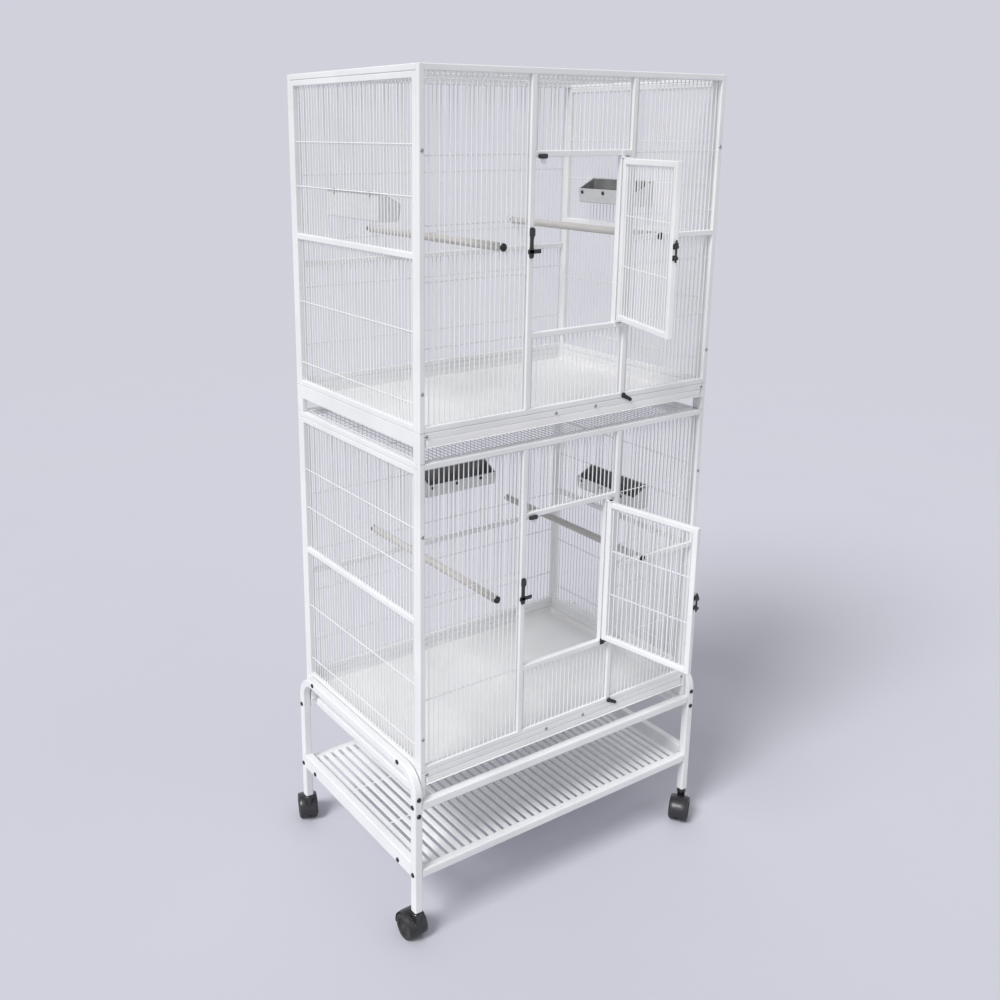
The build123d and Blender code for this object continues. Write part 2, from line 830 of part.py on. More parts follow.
def caster_hood():
    """Web between the wheels, a shell over them, and the neck and stem that it swivels on."""
    half_width = hood_web / 2 + wheel_side_gap + wheel_width
    outer_radius = wheel_radius + hood_wheel_gap + hood_shell
    centre = (caster_trail, -half_width, wheel_radius)
    drum = rod(centre, (0, 1, 0), outer_radius, 2 * half_width)
    neck_top = caster_height - clearance
    neck = rod((0, 0, wheel_radius), (0, 0, 1), neck_radius, neck_top - wheel_radius)
    stem = rod((0, 0, neck_top), (0, 0, 1), stem_radius, stem_length)
    body = drum + neck
    pocket_radius = wheel_radius + hood_wheel_gap
    for side in (-1, 1):
        start = (caster_trail, side * hood_web / 2, wheel_radius)
        pocket = rod(start, (0, side, 0), pocket_radius, half_width)
        body = body - pocket
    reach = outer_radius + caster_trail
    below = block((-reach, reach), (-reach, reach), (-outer_radius, wheel_radius - hood_skirt))
    hole = rod(centre, (0, 1, 0), axle_radius + turning_fit, 2 * half_width)
    return body - below - hole + stem


def caster_wheels():
    """Twin wheels with a shallow hub recess."""
    wheels = []
    for side in (-1, 1):
        start = (caster_trail, side * (hood_web / 2 + wheel_side_gap), wheel_radius)
        wheel = rod(start, (0, side, 0), wheel_radius, wheel_width)
        rims = wheel.edges().filter_by(GeomType.CIRCLE)
        wheel = fillet(rims, wheel_round)
        outer = (caster_trail, side * (hood_web / 2 + wheel_side_gap + wheel_width), wheel_radius)
        wheel = wheel - rod(outer, (0, -side, 0), *wheel_hub)
        bore = rod(start, (0, side, 0), axle_radius + turning_fit, wheel_width)
        wheels.append(wheel - bore)
    return wheels


def caster_axle():
    """Plain axle through the web and both wheels."""
    half = hood_web / 2 + wheel_side_gap + wheel_width - wheel_hub[1]
    return rod((caster_trail, -half, wheel_radius), (0, 1, 0), axle_radius, 2 * half)


legs = {
    "front_left": (-leg_x, leg_front),
    "front_right": (leg_x, leg_front),
    "back_left": (-leg_x, leg_back),
    "back_right": (leg_x, leg_back),
}
for corner, (x, y) in legs.items():
    place = Pos(x, y, 0) * Rot(0, 0, caster_headings[corner])
    save(f"{corner}_caster_hood", [place * caster_hood()])
    save(f"{corner}_caster_wheels", [place * wheel for wheel in caster_wheels()])
    save(f"{corner}_caster_axle", [place * caster_axle()])
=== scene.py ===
import math
import bpy
import numpy as np
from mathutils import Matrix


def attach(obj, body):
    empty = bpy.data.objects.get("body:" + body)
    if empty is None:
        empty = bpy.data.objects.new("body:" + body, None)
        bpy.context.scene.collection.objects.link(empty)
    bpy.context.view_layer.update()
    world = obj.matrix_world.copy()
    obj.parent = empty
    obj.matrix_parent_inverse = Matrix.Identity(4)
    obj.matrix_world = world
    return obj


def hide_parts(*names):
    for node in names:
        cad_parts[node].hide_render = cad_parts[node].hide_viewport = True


# Double stack flight cage. Metres, +Z up, doors face -Y, origin on the floor under the cages.

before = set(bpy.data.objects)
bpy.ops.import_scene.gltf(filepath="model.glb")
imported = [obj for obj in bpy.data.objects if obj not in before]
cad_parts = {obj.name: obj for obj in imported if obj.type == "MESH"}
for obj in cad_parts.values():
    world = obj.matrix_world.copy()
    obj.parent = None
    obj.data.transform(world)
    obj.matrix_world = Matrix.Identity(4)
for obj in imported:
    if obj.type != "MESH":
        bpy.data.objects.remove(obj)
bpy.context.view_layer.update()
print("frame loaded")

cage = {
    "width": 0.813, "depth": 0.533, "height": 0.762,
    "tube": 0.013, "wirePitch": 0.0123, "wireRadius": 0.00125,
    "floors": {"lower": 0.356, "upper": 1.118},
    "panelBottom": 0.064, "doorSill": 0.239, "doorHead": 0.592,
    "frontMid": 0.412, "sideMid": 0.4055, "backMid": 0.3385,
    "frontWires": (0.2325, 0.362, 0.469, 0.5985),
    "sideWires": (0.120, 0.264, 0.523, 0.619),
    "backWires": (0.155, 0.290, 0.399, 0.545),
    "tubeCorner": 0.0022,       # rounding of the square tube
    "weld": 0.001,              # how far a bar runs into the tube that it is welded to
    "jambGap": 0.0145,          # between the jamb and the post right of it
    "leafGap": 0.0045,          # above and below a door leaf
    "leafSide": 0.0035,         # beside a door leaf, at its latch
    "leafLift": 0.003,          # between a shut door leaf and the front frame
}
tube, weld, floors = cage["tube"], cage["weld"], cage["floors"]
left, right = -cage["width"] / 2, cage["width"] / 2
front, back = -cage["depth"] / 2, cage["depth"] / 2

# the space between the tubes, and the same with both ends welded in
insideX, insideY = (left + tube, right - tube), (front + 2 * tube, back - 2 * tube)
spanX, spanY = (insideX[0] - weld, insideX[1] + weld), (insideY[0] - weld, insideY[1] + weld)
postLeft, postRight = left + cage["width"] / 3, right - cage["width"] / 3
jambRight = postRight - tube / 2 - cage["jambGap"]
jambLeft = jambRight - tube
hinge = {"x": jambRight - tube / 2, "y": front - cage["leafLift"] - tube / 2,
         "open": {"upper": 71.3, "lower": 100.0}}
leafLeft = postLeft + tube / 2 + cage["leafSide"]


# Mesh helpers
# A part is (points, quads, corner normals). Several parts make one piece.

def gridQuads(rows, columns, wrap=True):
    # quad (r, c), (r, c+1), (r+1, c+1), (r+1, c), the columns closing on themselves
    r, c = np.meshgrid(np.arange(rows - 1), np.arange(columns if wrap else columns - 1), indexing="ij")
    r, c = r.ravel(), c.ravel()
    d = (c + 1) % columns
    return np.stack([r * columns + c, r * columns + d, (r + 1) * columns + d, (r + 1) * columns + c],
                    axis=1)


def capQuads(ring):
    # strips between opposite pairs of points, across a convex ring with an even count
    k = np.arange(len(ring) // 2 - 1)
    return np.stack([ring[k], ring[k + 1], ring[len(ring) - k - 2], ring[len(ring) - k - 1]], axis=1)


def unit(vectors):
    return vectors / np.maximum(np.linalg.norm(vectors, axis=-1, keepdims=True), 1e-12)


def ringSurface(points, normals, capped=True):
    # points[row, column] with smooth normals; flat caps close the first and the last ring
    rows, columns = points.shape[:2]
    flat = points.reshape(-1, 3)
    quads = gridQuads(rows, columns)
    corners = normals.reshape(-1, 3)[quads]
    if capped:
        for ring in (np.arange(columns)[::-1], (rows - 1) * columns + np.arange(columns)):
            cap = capQuads(ring)
            a, b, c = (flat[ring[k]] for k in (0, columns // 3, 2 * columns // 3))
            face = unit(np.cross(b - a, c - a))
            quads = np.concatenate([quads, cap])
            corners = np.concatenate([corners, np.broadcast_to(face, (len(cap), 4, 3))])
    return flat, quads, corners


def joinParts(parts):
    offset, points, quads, corners = 0, [], [], []
    for part in parts:
        points.append(part[0])
        quads.append(part[1] + offset)
        corners.append(part[2])
        offset += len(part[0])
    return np.concatenate(points), np.concatenate(quads), np.concatenate(corners)


def turnPart(part, degrees=0.0, pivot=(0, 0, 0), shift=(0, 0, 0)):
    # p' = R(p - pivot) + pivot + shift, with R a turn about Z
    a = math.radians(degrees)
    turn = np.array([[math.cos(a), -math.sin(a), 0], [math.sin(a), math.cos(a), 0], [0, 0, 1]])
    pivot = np.array(pivot)
    return (part[0] - pivot) @ turn.T + pivot + np.array(shift), part[1], part[2] @ turn.T


def newObject(name, data):
    thing = bpy.data.objects.new(name, data)
    bpy.context.scene.collection.objects.link(thing)
    return thing


def makePiece(name, node, look, parts, body="stand"):
    # one mesh in one finish; node names the CAD node that it replaces, if there is one
    points, quads, corners = joinParts(parts)
    mesh = bpy.data.meshes.new(name)
    mesh.vertices.add(len(points))
    mesh.vertices.foreach_set("co", points.astype(np.float32).ravel())
    mesh.loops.add(quads.size)
    mesh.loops.foreach_set("vertex_index", quads.astype(np.int32).ravel())
    mesh.polygons.add(len(quads))
    mesh.polygons.foreach_set("loop_start", np.arange(0, quads.size, 4, dtype=np.int32))
    mesh.polygons.foreach_set("loop_total", np.full(len(quads), 4, dtype=np.int32))
    mesh.update(calc_edges=True)
    mesh.polygons.foreach_set("use_smooth", np.ones(len(quads), dtype=bool))
    mesh.normals_split_custom_set(corners.reshape(-1, 3).tolist())
    mesh.materials.append(finishes[look])
    piece = newObject(name, mesh)
    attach(piece, body)
    if node:
        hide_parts(node)


# Four rounded corners of a square section: signs of the corner, and angle of each point
cornerSigns = np.repeat([(1, 1), (-1, 1), (-1, -1), (1, -1)], 3, axis=0)
cornerAngles = np.radians((np.arange(4)[:, None] * 90 + np.array([0, 45, 90])).ravel())
cornerNormals = np.stack([np.cos(cornerAngles), np.sin(cornerAngles)], axis=1)


def bar(x, y, z):
    return (x[0], y[0], z[0]), (x[1], y[1], z[1])


def tubeBars(bars, corner=cage["tubeCorner"]):
    # section(t) = sign * (half size - r) + r * (cos t, sin t), carried along the longest side of
    # each box; the end rings are drawn in, so that a cut end has a soft edge
    bars = np.array(bars, float)
    size = bars[:, 1] - bars[:, 0]
    middle = bars.mean(axis=1)
    along = size.argmax(axis=1)
    order = np.stack([(along + 1) % 3, (along + 2) % 3, along], axis=1)
    half = np.take_along_axis(size, order, axis=1) / 2
    radius = np.minimum(corner, half[:, :2].min(axis=1) * 0.9)[:, None, None, None]
    shrink = np.array([0.35, 1, 1, 0.35])[None, :, None, None]
    core = cornerSigns[None, None] * (half[:, None, None, :2] - radius)
    section = core + radius * shrink * cornerNormals[None, None]
    run = half[:, 2, None] * np.array([-1, -1, 1, 1]) + radius[:, 0, 0] * np.array([0, 0.65, -0.65, 0])
    local = np.concatenate([section, np.broadcast_to(run[:, :, None, None], section.shape[:3] + (1,))],
                           axis=3)
    normal = np.zeros_like(local)
    normal[..., :2] = cornerNormals
    normal[:, 0] = (0, 0, -1)
    normal[:, 3] = (0, 0, 1)
    back3 = np.argsort(order, axis=1)[:, None, None, :]
    world = np.take_along_axis(local, back3, axis=3) + middle[:, None, None]
    normal = np.take_along_axis(normal, back3, axis=3)
    return joinParts([ringSurface(p, n) for p, n in zip(world, normal)])


def rods(starts, ends, radius, sides=8):
    # p(t, s) = start + s * run + r * (U cos t + V sin t)
    starts, ends = np.array(starts, float), np.array(ends, float)
    w = unit(ends - starts)
    helper = np.where(np.abs(w[:, 2:]) > 0.9, [[1.0, 0, 0]], [[0, 0, 1.0]])
    u = unit(np.cross(helper, w))
    v = np.cross(w, u)
    t = np.arange(sides) * 2 * math.pi / sides
    radial = u[:, None] * np.cos(t)[None, :, None] + v[:, None] * np.sin(t)[None, :, None]
    rings = np.stack([starts[:, None] + radius * radial, ends[:, None] + radius * radial], axis=1)
    return joinParts([ringSurface(p, np.stack([n, n])) for p, n in zip(rings, radial)])


def lathe(profile, origin, axis, sides=16, ripple=None):
    # p(t, k) = origin + h_k * W + r_k * (U cos t + V sin t), with an optional ripple(t, r) along W;
    # a corner normal is shared with the next stretch of profile where the bend is under 40 degrees
    profile = np.array(profile, float)
    w = unit(np.array(axis, float))
    u = unit(np.cross((0, 0, 1.0) if abs(w[2]) < 0.9 else (1.0, 0, 0), w))
    v = np.cross(w, u)
    t = np.arange(sides) * 2 * math.pi / sides
    radial = u * np.cos(t)[:, None] + v * np.sin(t)[:, None]
    height = np.repeat(profile[:, 1:2], sides, axis=1)
    if ripple is not None:
        height = height + ripple(t[None, :], profile[:, 0:1])
    points = np.array(origin) + height[..., None] * w + profile[:, 0, None, None] * radial[None]
    step = np.diff(profile, axis=0)
    flatNormal = unit(np.stack([step[:, 1], -step[:, 0]], axis=1))
    start, end = flatNormal.copy(), flatNormal.copy()
    soft = (flatNormal[1:] * flatNormal[:-1]).sum(axis=1) > math.cos(math.radians(40))
    mixed = unit(flatNormal[1:] + flatNormal[:-1])
    start[1:][soft] = mixed[soft]
    end[:-1][soft] = mixed[soft]
    toWorld = lambda n: n[:, 0, None, None] * radial[None] + n[:, 1, None, None] * w
    near, far = toWorld(start), toWorld(end)
    flat, quads, corners = ringSurface(points, np.broadcast_to(w, points.shape))
    side = (len(profile) - 1) * sides
    ahead = np.roll(np.arange(sides), -1)
    corners = corners.copy()
    corners[:side] = np.stack([near, near[:, ahead], far[:, ahead], far], axis=2).reshape(side, 4, 3)
    return flat, quads, corners


def sweep(path, side, section, sectionNormals):
    # each path point carries the section in the plane of the side vector and the path's normal
    path = np.array(path, float)
    w = unit(np.gradient(path, axis=0))
    u = np.broadcast_to(np.array(side, float), w.shape)
    v = np.cross(w, u)
    points = path[:, None] + section[None, :, 0, None] * u[:, None] + section[None, :, 1, None] * v[:, None]
    normals = sectionNormals[None, :, 0, None] * u[:, None] + sectionNormals[None, :, 1, None] * v[:, None]
    return ringSurface(points, normals)


def plate(outline, origin, u, v, thickness, edge=0.0004):
    # a flat convex plate: the outline carried from one face to the other, drawn in at both
    outline = np.array(outline, float)
    ahead, behind = np.roll(outline, -1, axis=0), np.roll(outline, 1, axis=0)
    tangent = unit(ahead - behind)
    outward = np.stack([tangent[:, 1], -tangent[:, 0]], axis=1)
    u, v = np.array(u, float), np.array(v, float)
    w = np.cross(u, v)
    rise = np.array([0, edge, thickness - edge, thickness])
    inset = np.array([edge, 0, 0, edge])
    flat = outline[None] - outward[None] * inset[:, None, None]
    points = np.array(origin) + flat[..., 0, None] * u + flat[..., 1, None] * v + rise[:, None, None] * w
    normals = np.broadcast_to(outward[:, 0, None] * u + outward[:, 1, None] * v, points.shape).copy()
    normals[0], normals[3] = -w, w
    return ringSurface(points, normals)


def sheetFold(line, thickness, origin, u, v, w, length):
    # a bent sheet: the line and its copy moved by the thickness, carried along w
    line = np.array(line, float)
    tangent = unit(np.gradient(line, axis=0))
    inner = line + np.stack([-tangent[:, 1], tangent[:, 0]], axis=1) * thickness
    loop = np.concatenate([line, inner[::-1]])
    outward = np.stack([tangent[:, 1], -tangent[:, 0]], axis=1)
    normals2 = np.concatenate([outward, -outward[::-1]])
    u, v, w = (np.array(a, float) for a in (u, v, w))
    place = lambda flat: flat[:, 0, None] * u + flat[:, 1, None] * v
    ends = np.array([0, length])[:, None, None] * w
    points = np.array(origin) + place(loop)[None] + ends
    flat, quads, corners = ringSurface(points, np.broadcast_to(place(normals2), points.shape), capped=False)
    count, total = len(line), 2 * len(line)
    k = np.arange(count - 1)
    low = np.stack([k + 1, k, total - 1 - k, total - 2 - k], axis=1)
    high = low[:, ::-1] + total
    caps = np.concatenate([low, high])
    capNormals = np.repeat(np.array([-w, w]), count - 1, axis=0)[:, None].repeat(4, axis=1)
    return flat, np.concatenate([quads, caps]), np.concatenate([corners, capNormals])


def roundLine(corners, radius, steps=4):
    # an open line with each inner corner replaced by a quadratic curve from tangent to tangent
    corners = np.array(corners, float)
    line = [corners[:1]]
    s = np.linspace(0, 1, steps + 1)[:, None]
    for before, at, after in zip(corners[:-2], corners[1:-1], corners[2:]):
        a = at + unit(before - at) * radius
        b = at + unit(after - at) * radius
        line.append((1 - s) ** 2 * a + 2 * s * (1 - s) * at + s ** 2 * b)
    return np.concatenate(line + [corners[-1:]])


def roundRectangle(halfX, halfY, radius, steps=5):
    # ring of a rounded rectangle, with its outward normals
    a = np.radians((np.arange(4)[:, None] * 90 + np.linspace(0, 90, steps)[None]).ravel())
    signs = np.repeat([(1, 1), (-1, 1), (-1, -1), (1, -1)], steps, axis=0)
    normals = np.stack([np.cos(a), np.sin(a)], axis=1)
    return signs * np.array([halfX - radius, halfY - radius]) + radius * normals, normals


# Materials

def newGroup(name, inputs):
    # a node group with a vector and these inputs, and with colour, roughness and height as outputs
    group = bpy.data.node_groups.new(name, "ShaderNodeTree")
    sockets = [("Vector", "Vector", None)] + inputs
    ways = ["INPUT"] * len(sockets) + ["OUTPUT"] * 3
    sockets += [("Color", "Color", None), ("Roughness", "Float", None), ("Height", "Float", None)]
    for way, (key, kind, value) in zip(ways, sockets):
        socket = group.interface.new_socket(name=key, in_out=way, socket_type="NodeSocket" + kind)
        if value is not None:
            socket.default_value = value
    return group, group.nodes.new("NodeGroupInput").outputs, group.nodes.new("NodeGroupOutput").inputs


def link(tree, start, end):
    tree.links.new(start, end)


def feed(tree, socket, value):
    # a number becomes the value of the socket, anything else is linked to it
    if isinstance(value, (int, float)):
        socket.default_value = value
    else:
        link(tree, value, socket)


def noiseNode(tree, vector, scale, detail=2.0, rough=0.5):
    node = tree.nodes.new("ShaderNodeTexNoise")
    node.inputs["Detail"].default_value = detail
    node.inputs["Roughness"].default_value = rough
    link(tree, vector, node.inputs["Vector"])
    feed(tree, node.inputs["Scale"], scale)
    return node.outputs["Fac"]


def rangeNode(tree, value, low, high, outLow=0.0, outHigh=1.0):
    node = tree.nodes.new("ShaderNodeMapRange")
    for name, number in (("From Min", low), ("From Max", high), ("To Min", outLow), ("To Max", outHigh)):
        feed(tree, node.inputs[name], number)
    link(tree, value, node.inputs["Value"])
    return node.outputs["Result"]


def mixColour(tree, factor, first, second):
    node = tree.nodes.new("ShaderNodeMix")
    node.data_type = "RGBA"
    link(tree, factor, node.inputs["Factor"])
    link(tree, first, node.inputs["A"])
    link(tree, second, node.inputs["B"])
    return node.outputs["Result"]


def mathNode(tree, operation, first, second):
    node = tree.nodes.new("ShaderNodeMath")
    node.operation = operation
    for socket, value in zip(node.inputs, (first, second)):
        feed(tree, socket, value)
    return node.outputs["Value"]


def buildCoatGroup():
    # Coat: slow clouding of the colour, fine grain as height, and rare small chips
    group, given, result = newGroup("coatFinish", [
        ("Coat", "Color", (0.8, 0.8, 0.8, 1)), ("Shade", "Color", (0.7, 0.7, 0.7, 1)),
        ("Chip", "Color", (0.3, 0.3, 0.3, 1)), ("Grain Scale", "Float", 900.0),
        ("Cloud Scale", "Float", 9.0), ("Chip Start", "Float", 0.74), ("Roughness", "Float", 0.4)])
    cloud = noiseNode(group, given["Vector"], given["Cloud Scale"], 3.0)
    fine = noiseNode(group, given["Vector"], given["Grain Scale"], 1.0)
    spots = noiseNode(group, given["Vector"], 150.0, 2.0, 0.6)
    clouding = rangeNode(group, cloud, 0.38, 0.68)
    chips = rangeNode(group, spots, given["Chip Start"], mathNode(group, "ADD", given["Chip Start"], 0.03))
    coat = mixColour(group, clouding, given["Coat"], given["Shade"])
    link(group, mixColour(group, chips, coat, given["Chip"]), result["Color"])
    rough = mathNode(group, "ADD", given["Roughness"], mathNode(group, "MULTIPLY", clouding, 0.1))
    link(group, mathNode(group, "ADD", rough, mathNode(group, "MULTIPLY", chips, 0.2)), result["Roughness"])
    link(group, mathNode(group, "SUBTRACT", fine, mathNode(group, "MULTIPLY", chips, 0.8)),
         result["Height"])
    return group


def buildStreakGroup():
    # Streaks: noise drawn out along one axis, as turned wood or brushed metal shows
    group, given, result = newGroup("streakFinish", [
        ("Stretch", "Vector", (90.0, 4.0, 90.0)), ("Light", "Color", (0.8, 0.7, 0.5, 1)),
        ("Dark", "Color", (0.6, 0.5, 0.35, 1)), ("Roughness", "Float", 0.55)])
    scale = group.nodes.new("ShaderNodeVectorMath")
    scale.operation = "MULTIPLY"
    link(group, given["Vector"], scale.inputs[0])
    link(group, given["Stretch"], scale.inputs[1])
    grain = noiseNode(group, scale.outputs["Vector"], 1.0, 4.0, 0.6)
    broad = noiseNode(group, scale.outputs["Vector"], 0.22, 2.0)
    fine = noiseNode(group, scale.outputs["Vector"], 7.0, 2.0, 0.7)
    mask = mathNode(group, "MULTIPLY", rangeNode(group, grain, 0.35, 0.7),
                    rangeNode(group, broad, 0.3, 0.65, 0.35, 1.0))
    link(group, mixColour(group, mask, given["Light"], given["Dark"]), result["Color"])
    link(group, mathNode(group, "ADD", given["Roughness"], mathNode(group, "MULTIPLY", mask, 0.12)),
         result["Roughness"])
    link(group, mathNode(group, "ADD", fine, mathNode(group, "MULTIPLY", grain, 0.5)), result["Height"])
    return group


coatGroup, streakGroup = buildCoatGroup(), buildStreakGroup()


def finish(name, group, values, bump, bumpDistance, metallic=0.0, coatWeight=0.0):
    material = bpy.data.materials.new(name)
    material.use_nodes = True
    tree = material.node_tree
    shader = tree.nodes["Principled BSDF"]
    shader.inputs["Metallic"].default_value = metallic
    shader.inputs["Coat Weight"].default_value = coatWeight
    place = tree.nodes.new("ShaderNodeTexCoord")
    effect = tree.nodes.new("ShaderNodeGroup")
    effect.node_tree = group
    link(tree, place.outputs["Object"], effect.inputs["Vector"])
    for key, value in values.items():
        isColour = np.ndim(value) == 1 and key != "Stretch"
        effect.inputs[key].default_value = (*value, 1) if isColour else value
    relief = tree.nodes.new("ShaderNodeBump")
    relief.inputs["Strength"].default_value = bump
    relief.inputs["Distance"].default_value = bumpDistance
    link(tree, effect.outputs["Height"], relief.inputs["Height"])
    link(tree, effect.outputs["Color"], shader.inputs["Base Color"])
    link(tree, effect.outputs["Roughness"], shader.inputs["Roughness"])
    link(tree, relief.outputs["Normal"], shader.inputs["Normal"])
    material.diffuse_color = (*values.get("Coat", values.get("Light")), 1)
    return material


finishes = {
    "whiteCoat": finish("whitePowderCoat", coatGroup, {
        "Coat": (0.88, 0.883, 0.889), "Shade": (0.815, 0.82, 0.83), "Chip": (0.5, 0.49, 0.47),
        "Grain Scale": 1100.0, "Cloud Scale": 7.0, "Chip Start": 0.735, "Roughness": 0.36}, 0.25, 0.0004),
    "wireCoat": finish("whiteWireCoat", coatGroup, {
        "Coat": (0.89, 0.893, 0.90), "Shade": (0.83, 0.835, 0.845), "Chip": (0.46, 0.45, 0.44),
        "Grain Scale": 1500.0, "Cloud Scale": 11.0, "Chip Start": 0.75, "Roughness": 0.34}, 0.2, 0.0003),
    "trayCoat": finish("whiteTrayPaint", coatGroup, {
        "Coat": (0.86, 0.86, 0.863), "Shade": (0.80, 0.80, 0.804), "Chip": (0.58, 0.57, 0.53),
        "Grain Scale": 700.0, "Cloud Scale": 5.0, "Chip Start": 0.75, "Roughness": 0.42}, 0.2, 0.0004),
    "feederGrey": finish("greyFeederSheet", streakGroup, {
        "Stretch": (60.0, 60.0, 420.0), "Light": (0.71, 0.715, 0.71), "Dark": (0.61, 0.615, 0.615),
        "Roughness": 0.38}, 0.12, 0.0003, metallic=0.25),
    # painted shade: this dark grey stands for the shade inside the feeder troughs, not for a dark coat
    "feederPaintedShade": finish("paintedShadeFeederInside", coatGroup, {
        "Coat": (0.27, 0.27, 0.268), "Shade": (0.18, 0.18, 0.18), "Chip": (0.4, 0.4, 0.39),
        "Grain Scale": 600.0, "Cloud Scale": 22.0, "Chip Start": 0.7, "Roughness": 0.55}, 0.3, 0.0004),
    "blackPlastic": finish("blackMouldedPlastic", coatGroup, {
        "Coat": (0.022, 0.022, 0.024), "Shade": (0.034, 0.034, 0.037), "Chip": (0.12, 0.12, 0.12),
        "Grain Scale": 1400.0, "Cloud Scale": 40.0, "Chip Start": 0.74, "Roughness": 0.38}, 0.35, 0.0004),
    "blackMetal": finish("blackSatinMetal", coatGroup, {
        "Coat": (0.025, 0.025, 0.027), "Shade": (0.04, 0.04, 0.043), "Chip": (0.35, 0.34, 0.33),
        "Grain Scale": 1000.0, "Cloud Scale": 50.0, "Chip Start": 0.7, "Roughness": 0.32}, 0.3, 0.0003,
        metallic=0.4),
    "zincSteel": finish("dullZincSteel", streakGroup, {
        "Stretch": (500.0, 500.0, 500.0), "Light": (0.46, 0.46, 0.47), "Dark": (0.3, 0.3, 0.31),
        "Roughness": 0.36}, 0.2, 0.0002, metallic=0.9),
    "perchWood": finish("paleTurnedWood", streakGroup, {
        "Stretch": (150.0, 7.0, 150.0), "Light": (0.60, 0.583, 0.56), "Dark": (0.46, 0.44, 0.415),
        "Roughness": 0.6}, 0.45, 0.0007),
    "casterBlack": finish("blackCasterNylon", coatGroup, {
        "Coat": (0.014, 0.014, 0.016), "Shade": (0.026, 0.026, 0.029), "Chip": (0.1, 0.1, 0.1),
        "Grain Scale": 900.0, "Cloud Scale": 30.0, "Chip Start": 0.72, "Roughness": 0.33}, 0.3, 0.0004,
        coatWeight=0.15),
    "wheelBlack": finish("blackWheelTread", coatGroup, {
        "Coat": (0.02, 0.02, 0.021), "Shade": (0.045, 0.044, 0.043), "Chip": (0.1, 0.098, 0.095),
        "Grain Scale": 500.0, "Cloud Scale": 60.0, "Chip Start": 0.68, "Roughness": 0.5}, 0.45, 0.0005),
}
print("materials built")


# Cage panels

def places(low, high):
    # even wire places strictly between two ends, as near to the wire pitch as fits
    count = max(2, round((high - low) / cage["wirePitch"]))
    return low + (high - low) / count * np.arange(1, count)


def nearestCell(low, high, wanted):
    edges = np.concatenate([[low], places(low, high), [high]])
    middles = (edges[1:] + edges[:-1]) / 2
    return middles[np.abs(middles - wanted).argmin()]


acrossWires, deepWires = places(*insideX), places(*insideY)


def wireField(u, v, uPlaces, vPlaces, axes, level, outward):
    # wires along v at the u places, and crossing wires welded to their outer side
    radius = cage["wireRadius"]
    gap = 0.9 * radius * outward
    uIn = np.array([p for p in uPlaces if u[0] + 2 * radius < p < u[1] - 2 * radius])
    vIn = np.array([p for p in vPlaces if v[0] + 2 * radius < p < v[1] - 2 * radius])
    parts = []
    for fixed, run, way, shift in ((uIn, v, 0, -gap), (vIn, u, 1, gap)):
        if len(fixed) == 0:
            continue
        ends = []
        for end in (run[0] - weld, run[1] + weld):
            points = np.zeros((len(fixed), 3))
            points[:, axes[way]] = fixed
            points[:, axes[1 - way]] = end
            points[:, axes[2]] = level + shift
            ends.append(points)
        parts.append(rods(ends[0], ends[1], radius))
    return joinParts(parts)


def frontTubes(z):
    deep = (front, front + tube)
    low, high = z + cage["panelBottom"], z + cage["height"]
    sill, head, mid = z + cage["doorSill"], z + cage["doorHead"], z + cage["frontMid"]
    between = (postLeft + tube / 2 - weld, postRight - tube / 2 + weld)
    bars = [bar(spanX, deep, (low, low + tube)), bar(spanX, deep, (high - tube, high)),
            bar((left, left + tube), deep, (low, high)), bar((right - tube, right), deep, (low, high)),
            bar(between, deep, (sill - tube, sill)), bar(between, deep, (head, head + tube)),
            bar((jambLeft, jambRight), deep, (sill - weld, head + weld)),
            bar((postRight + tube / 2 - weld, spanX[1]), deep, (mid, mid + tube))]
    bars += [bar((x - tube / 2, x + tube / 2), deep, (low + tube - weld, high - tube + weld))
             for x in (postLeft, postRight)]
    return tubeBars(bars)


def frontWires(z):
    low, high = z + cage["panelBottom"] + tube, z + cage["height"] - tube
    sill, head, mid = z + cage["doorSill"], z + cage["doorHead"], z + cage["frontMid"]
    levels = z + np.array(cage["frontWires"])
    first, last = (insideX[0], postLeft - tube / 2), (postRight + tube / 2, insideX[1])
    middle = (postLeft + tube / 2, postRight - tube / 2)
    fields = [(first, (low, high)), (middle, (low, sill - tube)), (middle, (head + tube, high)),
              ((jambRight, middle[1]), (sill, head)), (last, (low, mid)), (last, (mid + tube, high))]
    return joinParts([wireField(u, v, acrossWires, levels, (0, 2, 1), front + tube / 2, 1)
                      for u, v in fields])


def backTubes(z):
    deep = (back - tube, back)
    low, high, mid = z + cage["panelBottom"], z + cage["height"], z + cage["backMid"]
    return tubeBars([bar(spanX, deep, (low, low + tube)), bar(spanX, deep, (high - tube, high)),
                     bar(spanX, deep, (mid, mid + tube)), bar((left, left + tube), deep, (low, high)),
                     bar((right - tube, right), deep, (low, high))])


def backWires(z):
    low, high, mid = z + cage["panelBottom"] + tube, z + cage["height"] - tube, z + cage["backMid"]
    levels = z + np.array(cage["backWires"])
    return joinParts([wireField(insideX, v, acrossWires, levels, (0, 2, 1), back - tube / 2, 1)
                      for v in ((low, mid), (mid + tube, high))])


def sideTubes(z, side):
    outer = right if side > 0 else left + tube
    wide = (outer - tube, outer)
    low, high, mid = z + cage["panelBottom"], z + cage["height"] - tube, z + cage["sideMid"]
    return tubeBars([bar(wide, spanY, (low, low + tube)), bar(wide, spanY, (high - tube, high)),
                     bar(wide, spanY, (mid, mid + tube)), bar(wide, (front + tube, insideY[0]), (low, high)),
                     bar(wide, (insideY[1], back - tube), (low, high))])


def sideWires(z, side):
    outer = right if side > 0 else left + tube
    low, high, mid = z + cage["panelBottom"] + tube, z + cage["height"] - 2 * tube, z + cage["sideMid"]
    levels = z + np.array(cage["sideWires"])
    return joinParts([wireField(insideY, v, deepWires, levels, (1, 2, 0), outer - tube / 2, side)
                      for v in ((low, mid), (mid + tube, high))])


